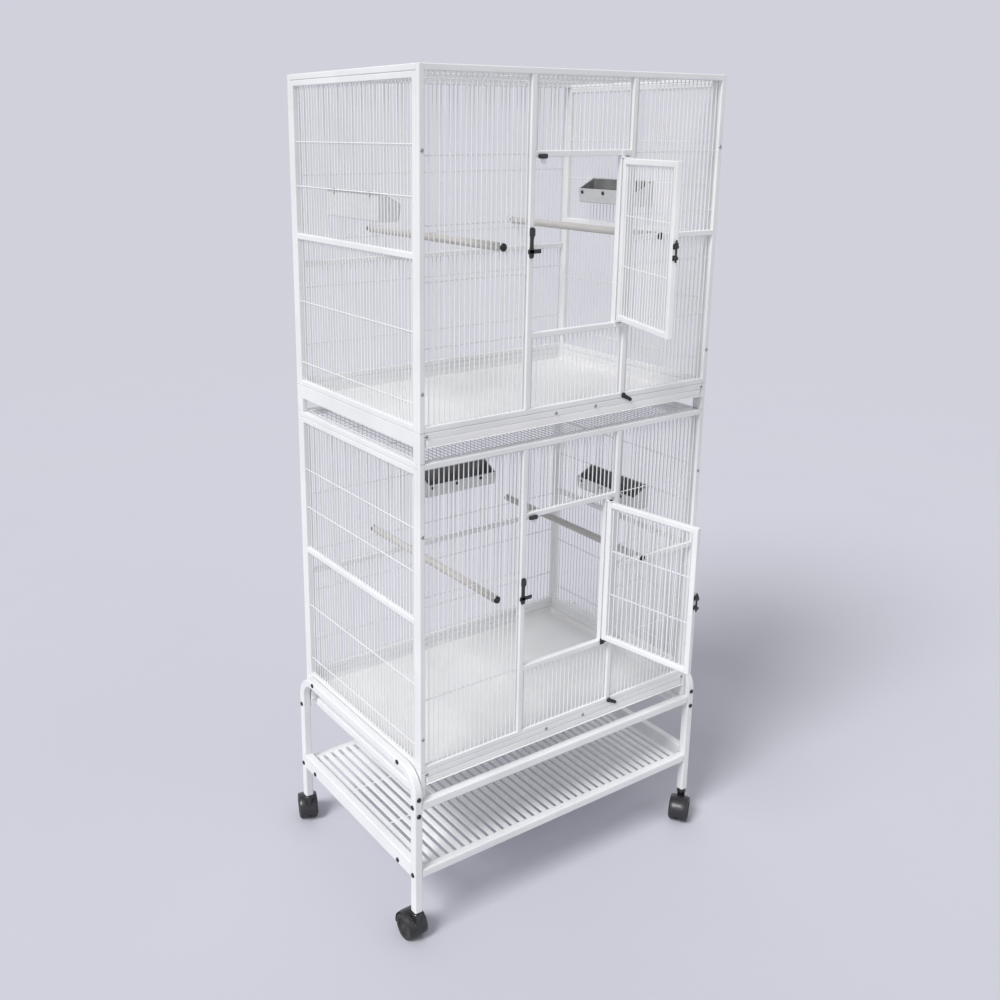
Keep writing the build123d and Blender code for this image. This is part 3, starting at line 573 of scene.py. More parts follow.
def topTubes(z):
    flat, deep = (z + cage["height"] - tube, z + cage["height"]), (front + tube, back - tube)
    return tubeBars([bar((left, left + tube), deep, flat), bar((right - tube, right), deep, flat),
                     bar(spanX, (deep[0], insideY[0]), flat), bar(spanX, (insideY[1], deep[1]), flat)])


def topWires(z):
    thirds = insideY[0] + (insideY[1] - insideY[0]) * np.array([1, 2]) / 3
    return wireField(insideX, insideY, acrossWires, thirds, (0, 1, 2), z + cage["height"] - tube / 2, -1)


base = {"drop": 0.032, "trayTop": 0.050, "runnerWidth": 0.012, "runnerSheet": 0.0015, "runnerCorner": 0.0005}


def baseTubes(z):
    drop, high, deep = z + base["drop"], z + cage["panelBottom"], (front + tube, back - tube)
    bars = []
    for wide in ((left, left + tube), (right - tube, right)):
        bars += [bar(wide, (front, insideY[0]), (z, high)), bar(wide, (insideY[1], back), (z, high)),
                 bar(wide, spanY, (drop, high))]
    bars += [bar(spanX, (back - tube, back), (drop, high)),
             bar(spanX, (front, front + tube), (z + base["trayTop"], high))]
    flat = (drop, drop + base["runnerSheet"])
    runners = [bar((spanX[0], insideX[0] + base["runnerWidth"]), deep, flat),
               bar((insideX[1] - base["runnerWidth"], spanX[1]), deep, flat)]
    return joinParts([tubeBars(bars), tubeBars(runners, base["runnerCorner"])])


def leafSpan(z):
    return z + cage["doorSill"] + cage["leafGap"], z + cage["doorHead"] - cage["leafGap"]


def opened(name, part):
    # turned about the hinge line together with the door leaf
    return turnPart(part, hinge["open"][name], (hinge["x"], hinge["y"], 0))


def doorTubes(z):
    deep, (low, high) = (hinge["y"] - tube / 2, hinge["y"] + tube / 2), leafSpan(z)
    inner = (leafLeft + tube - weld, jambLeft + weld)
    return tubeBars([bar((leafLeft, leafLeft + tube), deep, (low, high)),
                     bar((jambLeft, jambRight), deep, (low, high)),
                     bar(inner, deep, (low, low + tube)), bar(inner, deep, (high - tube, high))])


def doorWires(z):
    low, high = leafSpan(z)
    levels = z + np.array(cage["frontWires"])
    return wireField((leafLeft + tube, jambLeft), (low + tube, high - tube), acrossWires, levels,
                     (0, 2, 1), hinge["y"], -1)


for name, z in floors.items():
    for node, tubes, wires in (("back_panel", backTubes(z), backWires(z)),
                               ("left_panel", sideTubes(z, -1), sideWires(z, -1)),
                               ("right_panel", sideTubes(z, 1), sideWires(z, 1)),
                               ("top_panel", topTubes(z), topWires(z))):
        makePiece(f"{name}_{node}_tubes", f"{name}_{node}", "whiteCoat", [tubes])
        makePiece(f"{name}_{node}_wires", None, "wireCoat", [wires])
    makePiece(f"{name}_front_tubes", f"{name}_front_frame", "whiteCoat", [frontTubes(z)])
    makePiece(f"{name}_front_wires", f"{name}_front_grille", "wireCoat", [frontWires(z)])
    makePiece(f"{name}_base_tubes", f"{name}_base_frame", "whiteCoat", [baseTubes(z)])
    leaf, grille = opened(name, doorTubes(z)), opened(name, doorWires(z))
    makePiece(f"{name}_door_tubes", f"{name}_door_leaf", "whiteCoat", [leaf], f"{name}_door")
    makePiece(f"{name}_door_wires", None, "wireCoat", [grille], f"{name}_door")
print("cage panels built")

tray = {"low": 0.0338, "high": 0.0497, "halfX": 0.3925, "front": front, "back": back - tube - 0.0015,
        "sheet": 0.0012, "corner": 0.006, "fold": 0.004}


def trayPan(z):
    # rings of a rounded rectangle: out under the floor, up the wall, over a rolled rim and down inside
    halfY, middle = (tray["back"] - tray["front"]) / 2, (tray["back"] + tray["front"]) / 2
    low, high, sheet = tray["low"], tray["high"], tray["sheet"]
    levels = [(0.014, low), (0.003, low), (0.0009, low + 0.0009), (0, low + 0.003), (0, high - 0.0009),
              (0.0004, high), (sheet - 0.0002, high), (sheet, high - 0.0009), (sheet, low + sheet + 0.003),
              (sheet + 0.0009, low + sheet + 0.0009), (sheet + 0.003, low + sheet), (0.014, low + sheet)]
    slopes = [(0, -1), (0.3, -1), (1, -1), (1, 0), (1, 0.2), (1, 1), (-1, 1), (-1, 0.2), (-1, 0), (-1, 1),
              (-0.3, 1), (0, 1)]
    points, normals = [], []
    for (inset, level), slope in zip(levels, slopes):
        ring, away = roundRectangle(tray["halfX"] - inset, halfY - inset,
                                    max(tray["corner"] - inset, 0.001))
        points.append(np.column_stack([ring[:, 0], ring[:, 1] + middle, np.full(len(ring), z + level)]))
        normals.append(unit(np.column_stack([away * slope[0], np.full(len(ring), slope[1])])))
    lip = tubeBars([bar((-tray["halfX"], tray["halfX"]), (front - tray["fold"], front + 0.0005),
                        (z + low, z + low + sheet))], 0.0005)
    return joinParts([ringSurface(np.array(points), np.array(normals)), lip])


perch = {"radius": 0.009, "level": 0.4185, "wanted": (-0.2015, 0.2255), "knots": 26, "endInset": 0.00775,
         "screwInset": 0.00525}


def perchStick(z, number):
    # r(s) = radius * (1 + slow waves), rounded over the last few millimetres of each end
    x = nearestCell(*insideX, perch["wanted"][number])
    start = front + (perch["endInset"] if number == 0 else tube)
    length = back - perch["endInset"] - start
    s = np.linspace(0.0016, length - 0.0016, perch["knots"])
    r = perch["radius"] * (0.985 + 0.012 * np.sin(31 * s + number * 2.1) + 0.006 * np.sin(83 * s + 1.3))
    near = [(r[0] - 0.0024, 0), (r[0] - 0.0007, 0.0004)]
    far = [(r[-1] - 0.0007, length - 0.0004), (r[-1] - 0.0024, length)]
    profile = np.concatenate([near, np.column_stack([r, s]), far])
    return lathe(profile, (x, start, z + perch["level"]), (0, 1, 0), 20)


for name, z in floors.items():
    makePiece(f"{name}_tray_pan", f"{name}_tray", "trayCoat", [trayPan(z)], f"{name}_litter_tray")
    for number, side in enumerate(("left", "right")):
        makePiece(f"{name}_{side}_perch_stick", f"{name}_{side}_perch", "perchWood", [perchStick(z, number)])
print("trays and perches built")

feeder = {"width": 0.215, "height": 0.060, "depth": 0.052, "lip": 0.034, "toe": 0.046, "sheet": 0.0012,
          "rim": 0.0015, "shadeLining": 0.0004, "slack": 0.0003,
          "hookSpread": 0.077, "hookWidth": 0.006, "hookDrop": 0.008,
          "button": 0.0048, "buttonRise": 0.78, "buttons": (0.065, 0.42, 0.775),
          "places": {"upper_left_feeder": ("upper", "left", 0.0, 0.523),
                     "upper_right_feeder": ("upper", "right", 0.034, 0.523),
                     "lower_back_feeder": ("lower", "back", 0.034, 0.545),
                     "lower_right_feeder": ("lower", "right", 0.0, 0.523)}}


def feederParts(offsets):
    # drawn with its back on y = 0 and its mouth up; (d, h) are depth and height of the section
    half, sheet, lip, toe = feeder["width"] / 2, feeder["sheet"], feeder["lip"], feeder["toe"]
    high, deep, shadeLining = feeder["height"], feeder["depth"], feeder["shadeLining"]
    plane = (0, 1, 0), (0, 0, 1)
    outer = [(0, high), (0, 0), (toe, 0), (deep, lip)]
    body = [sheetFold(roundLine(outer, 0.004), sheet, (-half, 0, 0), *plane, (1, 0, 0), feeder["width"])]
    outline = roundLine([(0.0005, 0.03), (0.0005, 0.0005), (toe, 0.0005), (deep - 0.0003, lip),
                         (0.0005, high - 0.0005), (0.0005, 0.03)], 0.0035, 3)[1:-1]
    body += [plate(outline, (x, 0, 0), *plane, sheet) for x in (-half, half - sheet)]
    rimY = deep - 0.0009
    starts, ends = [(-half, rimY, lip)], [(half, rimY, lip)]
    for x in (-half + sheet / 2, half - sheet / 2):
        starts.append((x, rimY, lip))
        ends.append((x, 0.001, high))
    body.append(rods(starts, ends, feeder["rim"], 10))
    reach = feeder["slack"] + 2 * cage["wireRadius"] + 0.0005
    for offset in offsets:
        wide = (offset - feeder["hookWidth"] / 2, offset + feeder["hookWidth"] / 2)
        body.append(tubeBars([bar(wide, (-reach - sheet, sheet), (high - sheet, high)),
                              bar(wide, (-reach - sheet, -reach),
                                  (high - sheet - feeder["hookDrop"], high - sheet))], 0.0004))
    # a thin dark sheet just inside the trough and its end plates, as painted shade of the interior
    near = sheet + 0.0002
    painted_shade_inside = [(near, high - 0.002), (near, near), (toe - sheet, near), (deep - sheet - 0.0004, lip - 0.002)]
    shadeLiner = [sheetFold(roundLine(painted_shade_inside, 0.003), shadeLining, (-half + sheet, 0, 0), *plane, (1, 0, 0),
                       feeder["width"] - 2 * sheet)]
    panel = [(0.002, 0.002), (toe - 0.002, 0.002), (deep - 0.002, lip - 0.001), (0.002, high - 0.004)]
    shadeLiner += [plate(panel, (x, 0, 0), *plane, shadeLining, 0.0001) for x in (-half + sheet, half - sheet - shadeLining)]
    slant = unit(np.array([0, lip, toe - deep]))
    r, rise = feeder["button"], feeder["buttonRise"]
    dome = [(r, -0.0004), (r, 0.0008), (0.86 * r, 0.0019), (0.55 * r, 0.0027), (0.2 * r, 0.003)]
    seat = (toe + rise * (deep - toe), rise * lip)
    buttons = [lathe(dome, (half - share * feeder["width"], *seat), slant, 12) for share in feeder["buttons"]]
    return body, shadeLiner, buttons


for node, (name, wall, centre, level) in feeder["places"].items():
    span = insideX if wall == "back" else insideY
    cells = [nearestCell(*span, centre + way * feeder["hookSpread"]) for way in (-1, 1)]
    middle = sum(cells) / 2
    inset = tube / 2 + cage["wireRadius"] + feeder["slack"]
    z = floors[name] + level + cage["wireRadius"] + feeder["slack"] + feeder["sheet"] - feeder["height"]
    turn, place = {"left": (-90, (left + inset, middle, z)), "right": (90, (right - inset, middle, z)),
                   "back": (180, (middle, back - inset, z))}[wall]
    body, shadeLiner, buttons = ([turnPart(part, turn, (0, 0, 0), place) for part in parts]
                            for parts in feederParts([cell - middle for cell in cells]))
    mover = node.replace("_feeder", "_trough")
    makePiece(f"{node}_sheet", node, "feederGrey", body, mover)
    # the dark sheet inside each trough is painted shade
    makePiece(f"{node}_inside", None, "feederPaintedShade", shadeLiner, mover)
    makePiece(f"{node}_buttons", None, "blackPlastic", buttons, mover)
print("feeders built")

latch = {"keeperLow": 0.393, "x": leafLeft - 0.00475, "guides": (0.009, 0.031), "guideHeight": 0.006,
         "hookX": postRight + 0.003, "hookLevel": 0.0705, "hookTilt": 30.0, "hookLength": 0.025,
         "stopLift": 0.002}


def latchKeeper(z):
    # half width and depth change along the height: lobe, stem, wide tab and tail
    rise = np.array([0, 0.0015, 0.007, 0.009, 0.0095, 0.0175, 0.018, 0.021, 0.038, 0.043, 0.046, 0.058,
                     0.0605, 0.062])
    half = np.array([0.003, 0.0052, 0.0062, 0.0064, 0.0065, 0.0065, 0.0064, 0.0045, 0.0042, 0.0048, 0.0062,
                     0.0062, 0.0052, 0.0032])
    deep = np.array([0.0018, 0.0025, 0.0025, 0.0025, 0.0025, 0.0025, 0.0025, 0.0027, 0.0027, 0.0035, 0.0049,
                     0.0049, 0.004, 0.0025])
    r, halfDeep = np.minimum(0.0011, deep / 2.2)[:, None], deep[:, None] / 2
    x = postLeft + cornerSigns[None, :, 0] * (half[:, None] - r) + r * cornerNormals[None, :, 0]
    y = front - halfDeep + cornerSigns[None, :, 1] * (halfDeep - r) + r * cornerNormals[None, :, 1]
    points = np.stack([x, y, np.broadcast_to(z + latch["keeperLow"] + rise[:, None], x.shape)], axis=2)
    normals = np.broadcast_to(np.column_stack([cornerNormals, np.zeros(12)]), points.shape)
    tabLow = z + latch["keeperLow"] + 0.009
    tabLeft = postLeft - tube / 2 - 0.003
    tab = tubeBars([bar((tabLeft, tabLeft + 0.034), (front - 0.0025, front - 0.0001),
                        (tabLow, tabLow + 0.009))], 0.001)
    return joinParts([ringSurface(points, normals), tab])


def latchBar(z):
    low = z + latch["keeperLow"] + 0.003
    knob = latch["guides"][1] + latch["guideHeight"] - 0.003
    profile = [(0.0009, 0), (0.002, 0.0012), (0.002, knob), (0.0036, knob + 0.0002), (0.004, knob + 0.001),
               (0.004, knob + 0.0038), (0.0033, knob + 0.005), (0.002, knob + 0.0052), (0.002, 0.0428),
               (0.0009, 0.044)]
    return lathe(profile, (latch["x"], hinge["y"], low), (0, 0, 1), 14)


def latchGuides(z):
    deep = (hinge["y"] - 0.0035, hinge["y"] + 0.0035)
    bars = []
    for rise in latch["guides"]:
        low = z + latch["keeperLow"] + rise
        bars += [bar((leafLeft - 0.0095, leafLeft + 0.0002), deep, (low, low + latch["guideHeight"])),
                 bar((leafLeft - 0.0012, leafLeft + 0.0002), (hinge["y"] - 0.0052, hinge["y"] + 0.0052),
                     (low - 0.002, low + latch["guideHeight"] + 0.002))]
    return tubeBars(bars, 0.0012)


def doorStop(z):
    low = leafSpan(z)[1] + latch["stopLift"]
    return tubeBars([bar((leafLeft, leafLeft + 0.022), (front - 0.008, front), (low, low + 0.0095))], 0.003)


def stopBracket(z):
    # the small white angle under the bumper
    low, wide = leafSpan(z)[1] + latch["stopLift"], (leafLeft + 0.010, leafLeft + 0.021)
    return tubeBars([bar(wide, (front - 0.0012, front + 0.002), (low - 0.011, low + 0.001)),
                     bar(wide, (front - 0.0062, front + 0.001), (low - 0.0016, low - 0.0002))], 0.0004)


def trayHook(z):
    # a capsule outline turned down by the tilt, with a raised boss round the screw
    a = np.radians(np.linspace(-90, 90, 9))
    tip = np.column_stack([latch["hookLength"] + 0.004 * np.cos(a), 0.004 * np.sin(a)])
    b = np.radians(np.linspace(42, 318, 15))
    boss = np.column_stack([0.006 * np.cos(b), 0.006 * np.sin(b)])
    outline = np.concatenate([tip, boss])
    tilt = math.radians(-latch["hookTilt"])
    turn = np.array([[math.cos(tilt), -math.sin(tilt)], [math.sin(tilt), math.cos(tilt)]])
    origin = (latch["hookX"], front - 0.0003, z + latch["hookLevel"])
    return plate(outline @ turn.T, origin, (1, 0, 0), (0, 0, 1), 0.0025, 0.0006)


def hingeBracket(z, up):
    # a plate across the end of the leaf, and a flange on the face of the jamb
    near = leafSpan(z)[0 if up > 0 else 1] - up * 0.0003
    far = near - up * 0.0025
    last = far - up * 0.013
    return tubeBars([bar((jambLeft, jambRight), (hinge["y"] - tube / 2, front), tuple(sorted((near, far)))),
                     bar((jambLeft, jambRight), (front - 0.002, front), tuple(sorted((near, last))))],
                    0.0008)


screwHead = [(0.0040, 0), (0.0040, 0.0006), (0.0035, 0.0014), (0.0024, 0.0019), (0.0012, 0.002)]
boltHead = [(0.0055, 0), (0.0055, 0.0012), (0.0049, 0.0022), (0.0034, 0.0028), (0.0016, 0.003)]


def crossSlot(t, r):
    # the middle of a head dips in four arms
    return np.where(r < 0.0026, -0.0007 * (np.cos(4 * t) > 0.3), 0.0)


def screws(places, head, washer=None):
    # each place is a seat and the direction into the part; a washer is (radius, thickness)
    parts = []
    for seat, direction in places:
        away, start = -np.array(direction, float), np.array(seat, float)
        if washer:
            r, high = washer
            ring = [(r * 0.4, 0), (r, 0), (r, high * 0.6), (r - 0.0006, high), (r * 0.4, high)]
            parts.append(lathe(ring, start, away, 16))
            start = start + away * high
        parts.append(lathe(head, start, away, 12, crossSlot))
    return parts


screwSpots = {"levels": (0.145, 0.608), "frontLevel": 0.057, "frontInset": 0.016, "frontSpread": 0.0565}


def panelScrewPlaces(z):
    seats = []
    for x in (left + tube / 2, right - tube / 2):
        for level in screwSpots["levels"]:
            seats += [((x, front, z + level), (0, 1, 0)), ((x, back, z + level), (0, -1, 0))]
    inset, spread = screwSpots["frontInset"], screwSpots["frontSpread"]
    return seats + [((x, front, z + screwSpots["frontLevel"]), (0, 1, 0))
                    for x in (left + inset, -spread, spread, right - inset)]


def perchScrewPlaces(z):
    xs = [nearestCell(*insideX, wanted) for wanted in perch["wanted"]]
    level, face, far = z + perch["level"], front + perch["screwInset"], back - perch["screwInset"]
    return [((xs[0], face, level), (0, 1, 0)), ((xs[1], front, level), (0, 1, 0)),
            ((xs[0], far, level), (0, -1, 0)), ((xs[1], far, level), (0, -1, 0))]


def hookScrewPlaces(z):
    return [((latch["hookX"], front - 0.0031, z + latch["hookLevel"]), (0, 1, 0))]


for name, z in floors.items():
    lifter, guides = opened(name, latchBar(z)), opened(name, latchGuides(z))
    makePiece(f"{name}_keeper", f"{name}_latch_keeper", "blackPlastic", [latchKeeper(z)])
    makePiece(f"{name}_latch_lifter", f"{name}_latch_bar", "blackMetal", [lifter], f"{name}_latch")
    makePiece(f"{name}_guides", f"{name}_latch_guides", "blackPlastic", [guides], f"{name}_door")
    makePiece(f"{name}_turn_hook", f"{name}_tray_hook", "blackMetal", [trayHook(z)], f"{name}_hook")
    makePiece(f"{name}_stop_bracket", None, "whiteCoat", [stopBracket(z)])
makePiece("bumpers", "door_stops", "blackPlastic", [doorStop(z) for z in floors.values()])
makePiece("black_hinge_plate", "door_hinge_brackets", "blackMetal", [hingeBracket(floors["lower"], 1)])
whitePlates = [hingeBracket(floors[name], up) for name, up in (("lower", -1), ("upper", 1), ("upper", -1))]
makePiece("white_hinge_plates", None, "whiteCoat", whitePlates)
for name, node, look, spots, washer in (
        ("panel_screw_heads", "panel_screws", "zincSteel", panelScrewPlaces, None),
        ("perch_screw_heads", "perch_screws", "blackMetal", perchScrewPlaces, (0.0085, 0.0015)),
        ("hook_screw_heads", "tray_hook_pivots", "blackMetal", hookScrewPlaces, None)):
    makePiece(name, node, look, screws(sum((spots(z) for z in floors.values()), []), screwHead, washer))
print("door fittings and screws built")

# Stand

stand = {"tube": 0.020, "legX": 0.4185, "legFront": -0.2685, "legBack": 0.2545, "top": 0.431, "bend": 0.050,
         "legLow": 0.080, "height": 0.356, "corner": 0.0032, "railInset": 0.014, "cageGap": 0.002,
         "shelf": 0.165, "shelfSide": 0.038, "slatWidth": 0.013, "slatSheet": 0.005, "slatPitch": 0.0226,
         "crossRadius": 0.002, "crossSpread": 0.0805,
         "hoopBolt": 0.062, "shelfBolt": 0.063, "boltSpread": 0.0205}
halfTube = stand["tube"] / 2
innerX = right + stand["cageGap"]
innerY = (stand["legFront"] + halfTube, stand["legBack"] - halfTube)


def hoop(side):
    # leg, quarter bend, top, quarter bend, leg: a square tube carried along one smooth line
    bend, high = stand["bend"], stand["top"] - halfTube
    y0, y1, low = stand["legFront"], stand["legBack"], stand["legLow"]
    a = np.radians(np.linspace(0, 90, 13))
    first = np.column_stack([y0 + bend - bend * np.cos(a), high - bend + bend * np.sin(a)])
    second = np.column_stack([y1 - bend + bend * np.sin(a), high - bend + bend * np.cos(a)])
    leg = np.array([[y0, low], [y0, low + 0.001], [y0, high - bend - 0.001]])
    lastLeg = np.array([[y1, high - bend - 0.001], [y1, low + 0.001], [y1, low]])
    line = np.concatenate([leg, first, second, lastLeg])
    path = np.column_stack([np.full(len(line), side * stand["legX"]), line])
    r = stand["corner"]
    section = cornerSigns * (halfTube - r) + r * cornerNormals
    return sweep(path, (1, 0, 0), section, cornerNormals)


def crossRail(y, low):
    return bar((-innerX, innerX), (y - halfTube, y + halfTube), (low, low + stand["tube"]))


def slats():
    count = round(2 * innerX / stand["slatPitch"])
    xs = -innerX + 2 * innerX / count * np.arange(1, count)
    high, half = stand["shelf"] + stand["tube"], stand["slatWidth"] / 2
    flat = tubeBars([bar((x - half, x + half), (innerY[0] - weld, innerY[1] + weld),
                         (high - stand["slatSheet"], high)) for x in xs], 0.0016)
    middle, r = sum(innerY) / 2, stand["crossRadius"]
    level = high - stand["slatSheet"] - r
    ys = [middle - stand["crossSpread"], middle + stand["crossSpread"]]
    cross = rods([(-innerX, y, level) for y in ys], [(innerX, y, level) for y in ys], r, 10)
    return joinParts([flat, cross])


def standBoltPlaces():
    outer = stand["legX"] + halfTube
    hoopLevel = (stand["height"] + cage["panelBottom"] + stand["top"]) / 2
    railLevel, shelfLevel = stand["height"] - halfTube, stand["shelf"] + halfTube
    y0, y1 = stand["legFront"], stand["legBack"]
    spots = [(y0 + stand["hoopBolt"], hoopLevel), (y1 - stand["hoopBolt"], hoopLevel), (y0, railLevel),
             (y1, railLevel), (y0, shelfLevel), (y1, shelfLevel),
             (y0 + stand["shelfBolt"], shelfLevel), (y1 - stand["shelfBolt"], shelfLevel)]
    seats = []
    for side in (-1, 1):
        seats += [((side * outer, y, level), (-side, 0, 0)) for y, level in spots]
        seats += [((side * stand["legX"], y0 - halfTube, railLevel + offset), (0, 1, 0))
                  for offset in (-stand["boltSpread"], stand["boltSpread"])]
    return seats


def pairOfBars(outer, level):
    # two tubes from front to back, whose outer faces stand at -outer and outer
    return [bar((-outer, -outer + stand["tube"]), innerY, level),
            bar((outer - stand["tube"], outer), innerY, level)]


railZ = (stand["height"] - stand["tube"], stand["height"])
sideZ = (stand["shelf"], stand["shelf"] + stand["shelfSide"])
ends = (stand["legFront"], stand["legBack"])
frontRail, backRail = (tubeBars([crossRail(y, railZ[0])], stand["corner"]) for y in ends)
innerRails = tubeBars(pairOfBars(right - stand["railInset"], railZ), stand["corner"])
shelfBars = [crossRail(y, stand["shelf"]) for y in ends] + pairOfBars(innerX + stand["tube"], sideZ)
for name, node, part in (
        ("left_hoop_tube", "left_hoop", hoop(-1)), ("right_hoop_tube", "right_hoop", hoop(1)),
        ("front_rail_tube", "front_rail", frontRail), ("back_rail_tube", "back_rail", backRail),
        ("inner_rail_tubes", "inner_rails", innerRails),
        ("shelf_tubes", "shelf_frame", tubeBars(shelfBars, stand["corner"])),
        ("shelf_bars", "shelf_slats", slats())):
    makePiece(name, node, "whiteCoat", [part])
makePiece("stand_bolt_heads", "stand_bolts", "blackMetal", screws(standBoltPlaces(), boltHead))
print("stand built")

caster = {"wheel": 0.030, "width": 0.018, "gap": 0.001, "web": 0.008, "shell": 0.035, "skirtLevel": 0.022,
          "trail": 0.022, "neck": 0.010, "top": 0.0797,
          "headings": {"front_left": 90.0, "front_right": 214.0, "back_left": 70.0, "back_right": 120.0}}


def casterHood():
    # the shell is a flat ring section carried round the wheel axis from skirt to skirt
    centre = np.array([caster["trail"], 0, caster["wheel"]])
    half = caster["web"] / 2 + caster["gap"] + caster["width"]
    outer, inner = caster["shell"], caster["wheel"] + 0.0021
    spread, edge = np.linspace(-1, 1, 9), 0.0015
    top = np.column_stack([spread * half, outer - 0.0022 * np.abs(spread) ** 4])
    low = np.column_stack([spread[::-1] * (half - edge), np.full(9, inner)])
    ring = np.concatenate([top, low])
    away = np.concatenate([np.column_stack([0.5 * spread ** 3, np.ones(9)]),
                           np.column_stack([np.zeros(9), -np.ones(9)])])
    first = math.asin((caster["skirtLevel"] - caster["wheel"]) / outer)
    phi = np.linspace(first, math.pi - first, 33)
    spoke = np.stack([np.cos(phi), np.zeros_like(phi), np.sin(phi)], axis=1)
    axle = np.array([0, 1.0, 0])
    points = centre + ring[None, :, 1, None] * spoke[:, None] + ring[None, :, 0, None] * axle
    normals = unit(away[None, :, 1, None] * spoke[:, None] + away[None, :, 0, None] * axle)
    shell = ringSurface(points, normals)
    disc = np.linspace(first, math.pi - first, 28)
    web = plate((outer - 0.002) * np.column_stack([np.cos(disc), np.sin(disc)]),
                centre + np.array([0, caster["web"] / 2, 0]), (1, 0, 0), (0, 0, 1), caster["web"])
    r, top = caster["neck"], caster["top"]
    neck = lathe([(0.004, 0.030), (r - 0.001, 0.030), (r, 0.031), (r, 0.066), (r + 0.0012, 0.068),
                  (r + 0.0012, 0.073), (r - 0.0005, 0.0745), (r - 0.0005, top - 0.0006), (r - 0.0012, top),
                  (0.004, top)], (0, 0, 0), (0, 0, 1), 24)
    return [shell, web, neck]


def spokeRipple(t, r):
    # five raised spokes in the recess of the wheel
    return np.where((r > 0.0075) & (r < 0.0182), 0.0016 * np.clip(4 * np.cos(5 * t) - 2.6, 0, 1), 0.0)


def casterWheels():
    r, width = caster["wheel"], caster["width"]
    profile = [(0.006, 0.0004), (0.018, 0.0004), (r - 0.0024, 0), (r - 0.0007, 0.0007), (r, 0.0024),
               (r, 0.0075), (r - 0.0005, 0.0082), (r - 0.0005, 0.0098), (r, 0.0105), (r, width - 0.0024),
               (r - 0.0007, width - 0.0007), (r - 0.0024, width), (0.0208, width), (0.0192, width - 0.0006),
               (0.0186, width - 0.0028), (0.018, width - 0.003), (0.013, width - 0.003),
               (0.0078, width - 0.003), (0.0072, width - 0.0012), (0.0062, width - 0.0004),
               (0.0035, width - 0.0002)]
    start = caster["web"] / 2 + caster["gap"]
    return [lathe(profile, (caster["trail"], side * start, r), (0, side, 0), 40, spokeRipple)
            for side in (-1, 1)]


for name, heading in caster["headings"].items():
    x, y = stand["legX"] * (-1 if "left" in name else 1), stand["legFront" if "front" in name else "legBack"]
    hood, wheels = ([turnPart(part, heading, (0, 0, 0), (x, y, 0)) for part in parts]
                    for parts in (casterHood(), casterWheels()))
    makePiece(f"{name}_hood", f"{name}_caster_hood", "casterBlack", hood, f"{name}_swivel")
    makePiece(f"{name}_twin_wheels", f"{name}_caster_wheels", "wheelBlack", wheels, f"{name}_wheels")
print("casters built")

# CAD nodes that are shown as they are
for node in ["door_hinge_pins"] + [f"{name}_caster_axle" for name in caster["headings"]]:
    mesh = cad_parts[node].data
    mesh.materials.clear()
    mesh.materials.append(finishes["blackMetal" if node == "door_hinge_pins" else "zincSteel"])

# Room, light and camera

studio = {"floor": (0.58, 0.585, 0.65), "skyLight": 0.46, "skyTint": (0.975, 0.98, 1.0), "fadeStart": 2.2,
          "fadeEnd": 6.0,
          "suns": {"key": {"from": (-3.3, -0.9, 3.6), "level": 0.77, "spread": 22.0},
                   "fill": {"from": (2.0, -3.6, 1.6), "level": 0.07, "spread": 60.0},
                   "rim": {"from": (1.6, 3.2, 2.0), "level": 0.10, "spread": 60.0}}}


def floorLight():
    # a white surface that faces up: the sky and the upward share of each lamp
    suns = studio["suns"].values()
    return studio["skyLight"] + sum(sun["level"] * sun["from"][2] / np.linalg.norm(sun["from"])
                                    for sun in suns)


def paleFloor():
    # it fades out with the distance from the cage, so that no horizon line shows
    mesh = bpy.data.meshes.new("floor")
    size = 1.2 * studio["fadeEnd"]
    mesh.from_pydata([(-size, -size, 0), (size, -size, 0), (size, size, 0), (-size, size, 0)], [],
                     [(0, 1, 2, 3)])
    floor = newObject("floor", mesh)
    material = bpy.data.materials.new("paleFloor")
    material.use_nodes = True
    tree = material.node_tree
    shader = tree.nodes["Principled BSDF"]
    shader.inputs["Roughness"].default_value = 0.9
    place = tree.nodes.new("ShaderNodeTexCoord")
    cloud = noiseNode(tree, place.outputs["Object"], 1.5, 3.0)
    tones = []
    for shade in (0.985, 1.0):
        tone = tree.nodes.new("ShaderNodeRGB")
        tone.outputs[0].default_value = (*(part * shade for part in studio["floor"]), 1)
        tones.append(tone.outputs[0])
    link(tree, mixColour(tree, rangeNode(tree, cloud, 0.3, 0.7), *tones), shader.inputs["Base Color"])
    distance = tree.nodes.new("ShaderNodeVectorMath")
    distance.operation = "LENGTH"
    link(tree, place.outputs["Object"], distance.inputs[0])
    link(tree, rangeNode(tree, distance.outputs["Value"], studio["fadeStart"], studio["fadeEnd"], 1.0, 0.0),
         shader.inputs["Alpha"])
    mesh.materials.append(material)


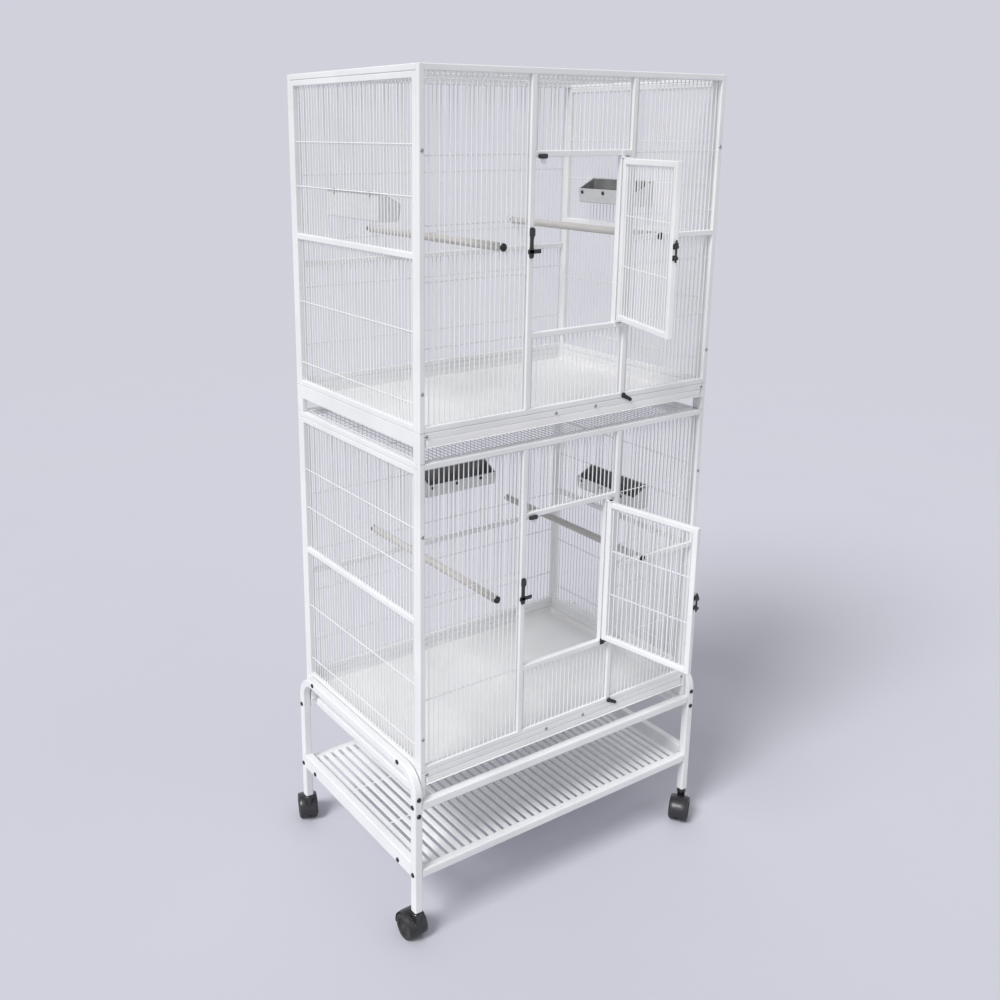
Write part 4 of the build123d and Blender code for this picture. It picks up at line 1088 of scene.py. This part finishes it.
def softSun(name, sun):
    # a level of 1 shows a white surface that faces the lamp as white, so its strength is pi times that
    data = bpy.data.lights.new(name, "SUN")
    data.energy = math.pi * sun["level"]
    data.angle = math.radians(sun["spread"])
    lamp = newObject(name, data)
    x, y, z = sun["from"]
    lamp.location = (x, y, z)
    lamp.rotation_euler = (math.atan2(math.hypot(x, y), z), 0, math.atan2(x, -y))


def paleWorld():
    world = bpy.data.worlds.new("studioWorld")
    world.use_nodes = True
    bpy.context.scene.world = world
    tree = world.node_tree
    tree.nodes.clear()
    rays = tree.nodes.new("ShaderNodeLightPath")
    seen = mathNode(tree, "MAXIMUM", rays.outputs["Is Camera Ray"],
                    mathNode(tree, "MAXIMUM", rays.outputs["Is Glossy Ray"],
                             rays.outputs["Is Transmission Ray"]))
    lit = tree.nodes.new("ShaderNodeBackground")
    lit.inputs["Color"].default_value = (*studio["skyTint"], 1)
    lit.inputs["Strength"].default_value = studio["skyLight"]
    shown = tree.nodes.new("ShaderNodeBackground")
    shown.inputs["Color"].default_value = (*(part * floorLight() for part in studio["floor"]), 1)
    shown.inputs["Strength"].default_value = 1.0
    mix = tree.nodes.new("ShaderNodeMixShader")
    link(tree, seen, mix.inputs[0])
    link(tree, lit.outputs[0], mix.inputs[1])
    link(tree, shown.outputs[0], mix.inputs[2])
    output = tree.nodes.new("ShaderNodeOutputWorld")
    link(tree, mix.outputs[0], output.inputs["Surface"])


paleFloor()
paleWorld()
for name, sun in studio["suns"].items():
    softSun(name, sun)

view = {"lens": 38.47, "sensor": 36.0, "shift": (0.07, -0.08), "far": 200.0,
        "place": (-1.5125, -1.9643, 1.7625), "tilt": 74.81, "heading": -33.66}
camera = bpy.data.cameras.new("camera")
camera.lens, camera.sensor_width, camera.clip_end = view["lens"], view["sensor"], view["far"]
camera.shift_x, camera.shift_y = view["shift"]
cameraObject = newObject("camera", camera)
cameraObject.location = view["place"]
cameraObject.rotation_euler = (math.radians(view["tilt"]), 0, math.radians(view["heading"]))
bpy.context.scene.camera = cameraObject
bpy.context.scene.view_settings.view_transform = "Standard"
print("room, light and camera set")
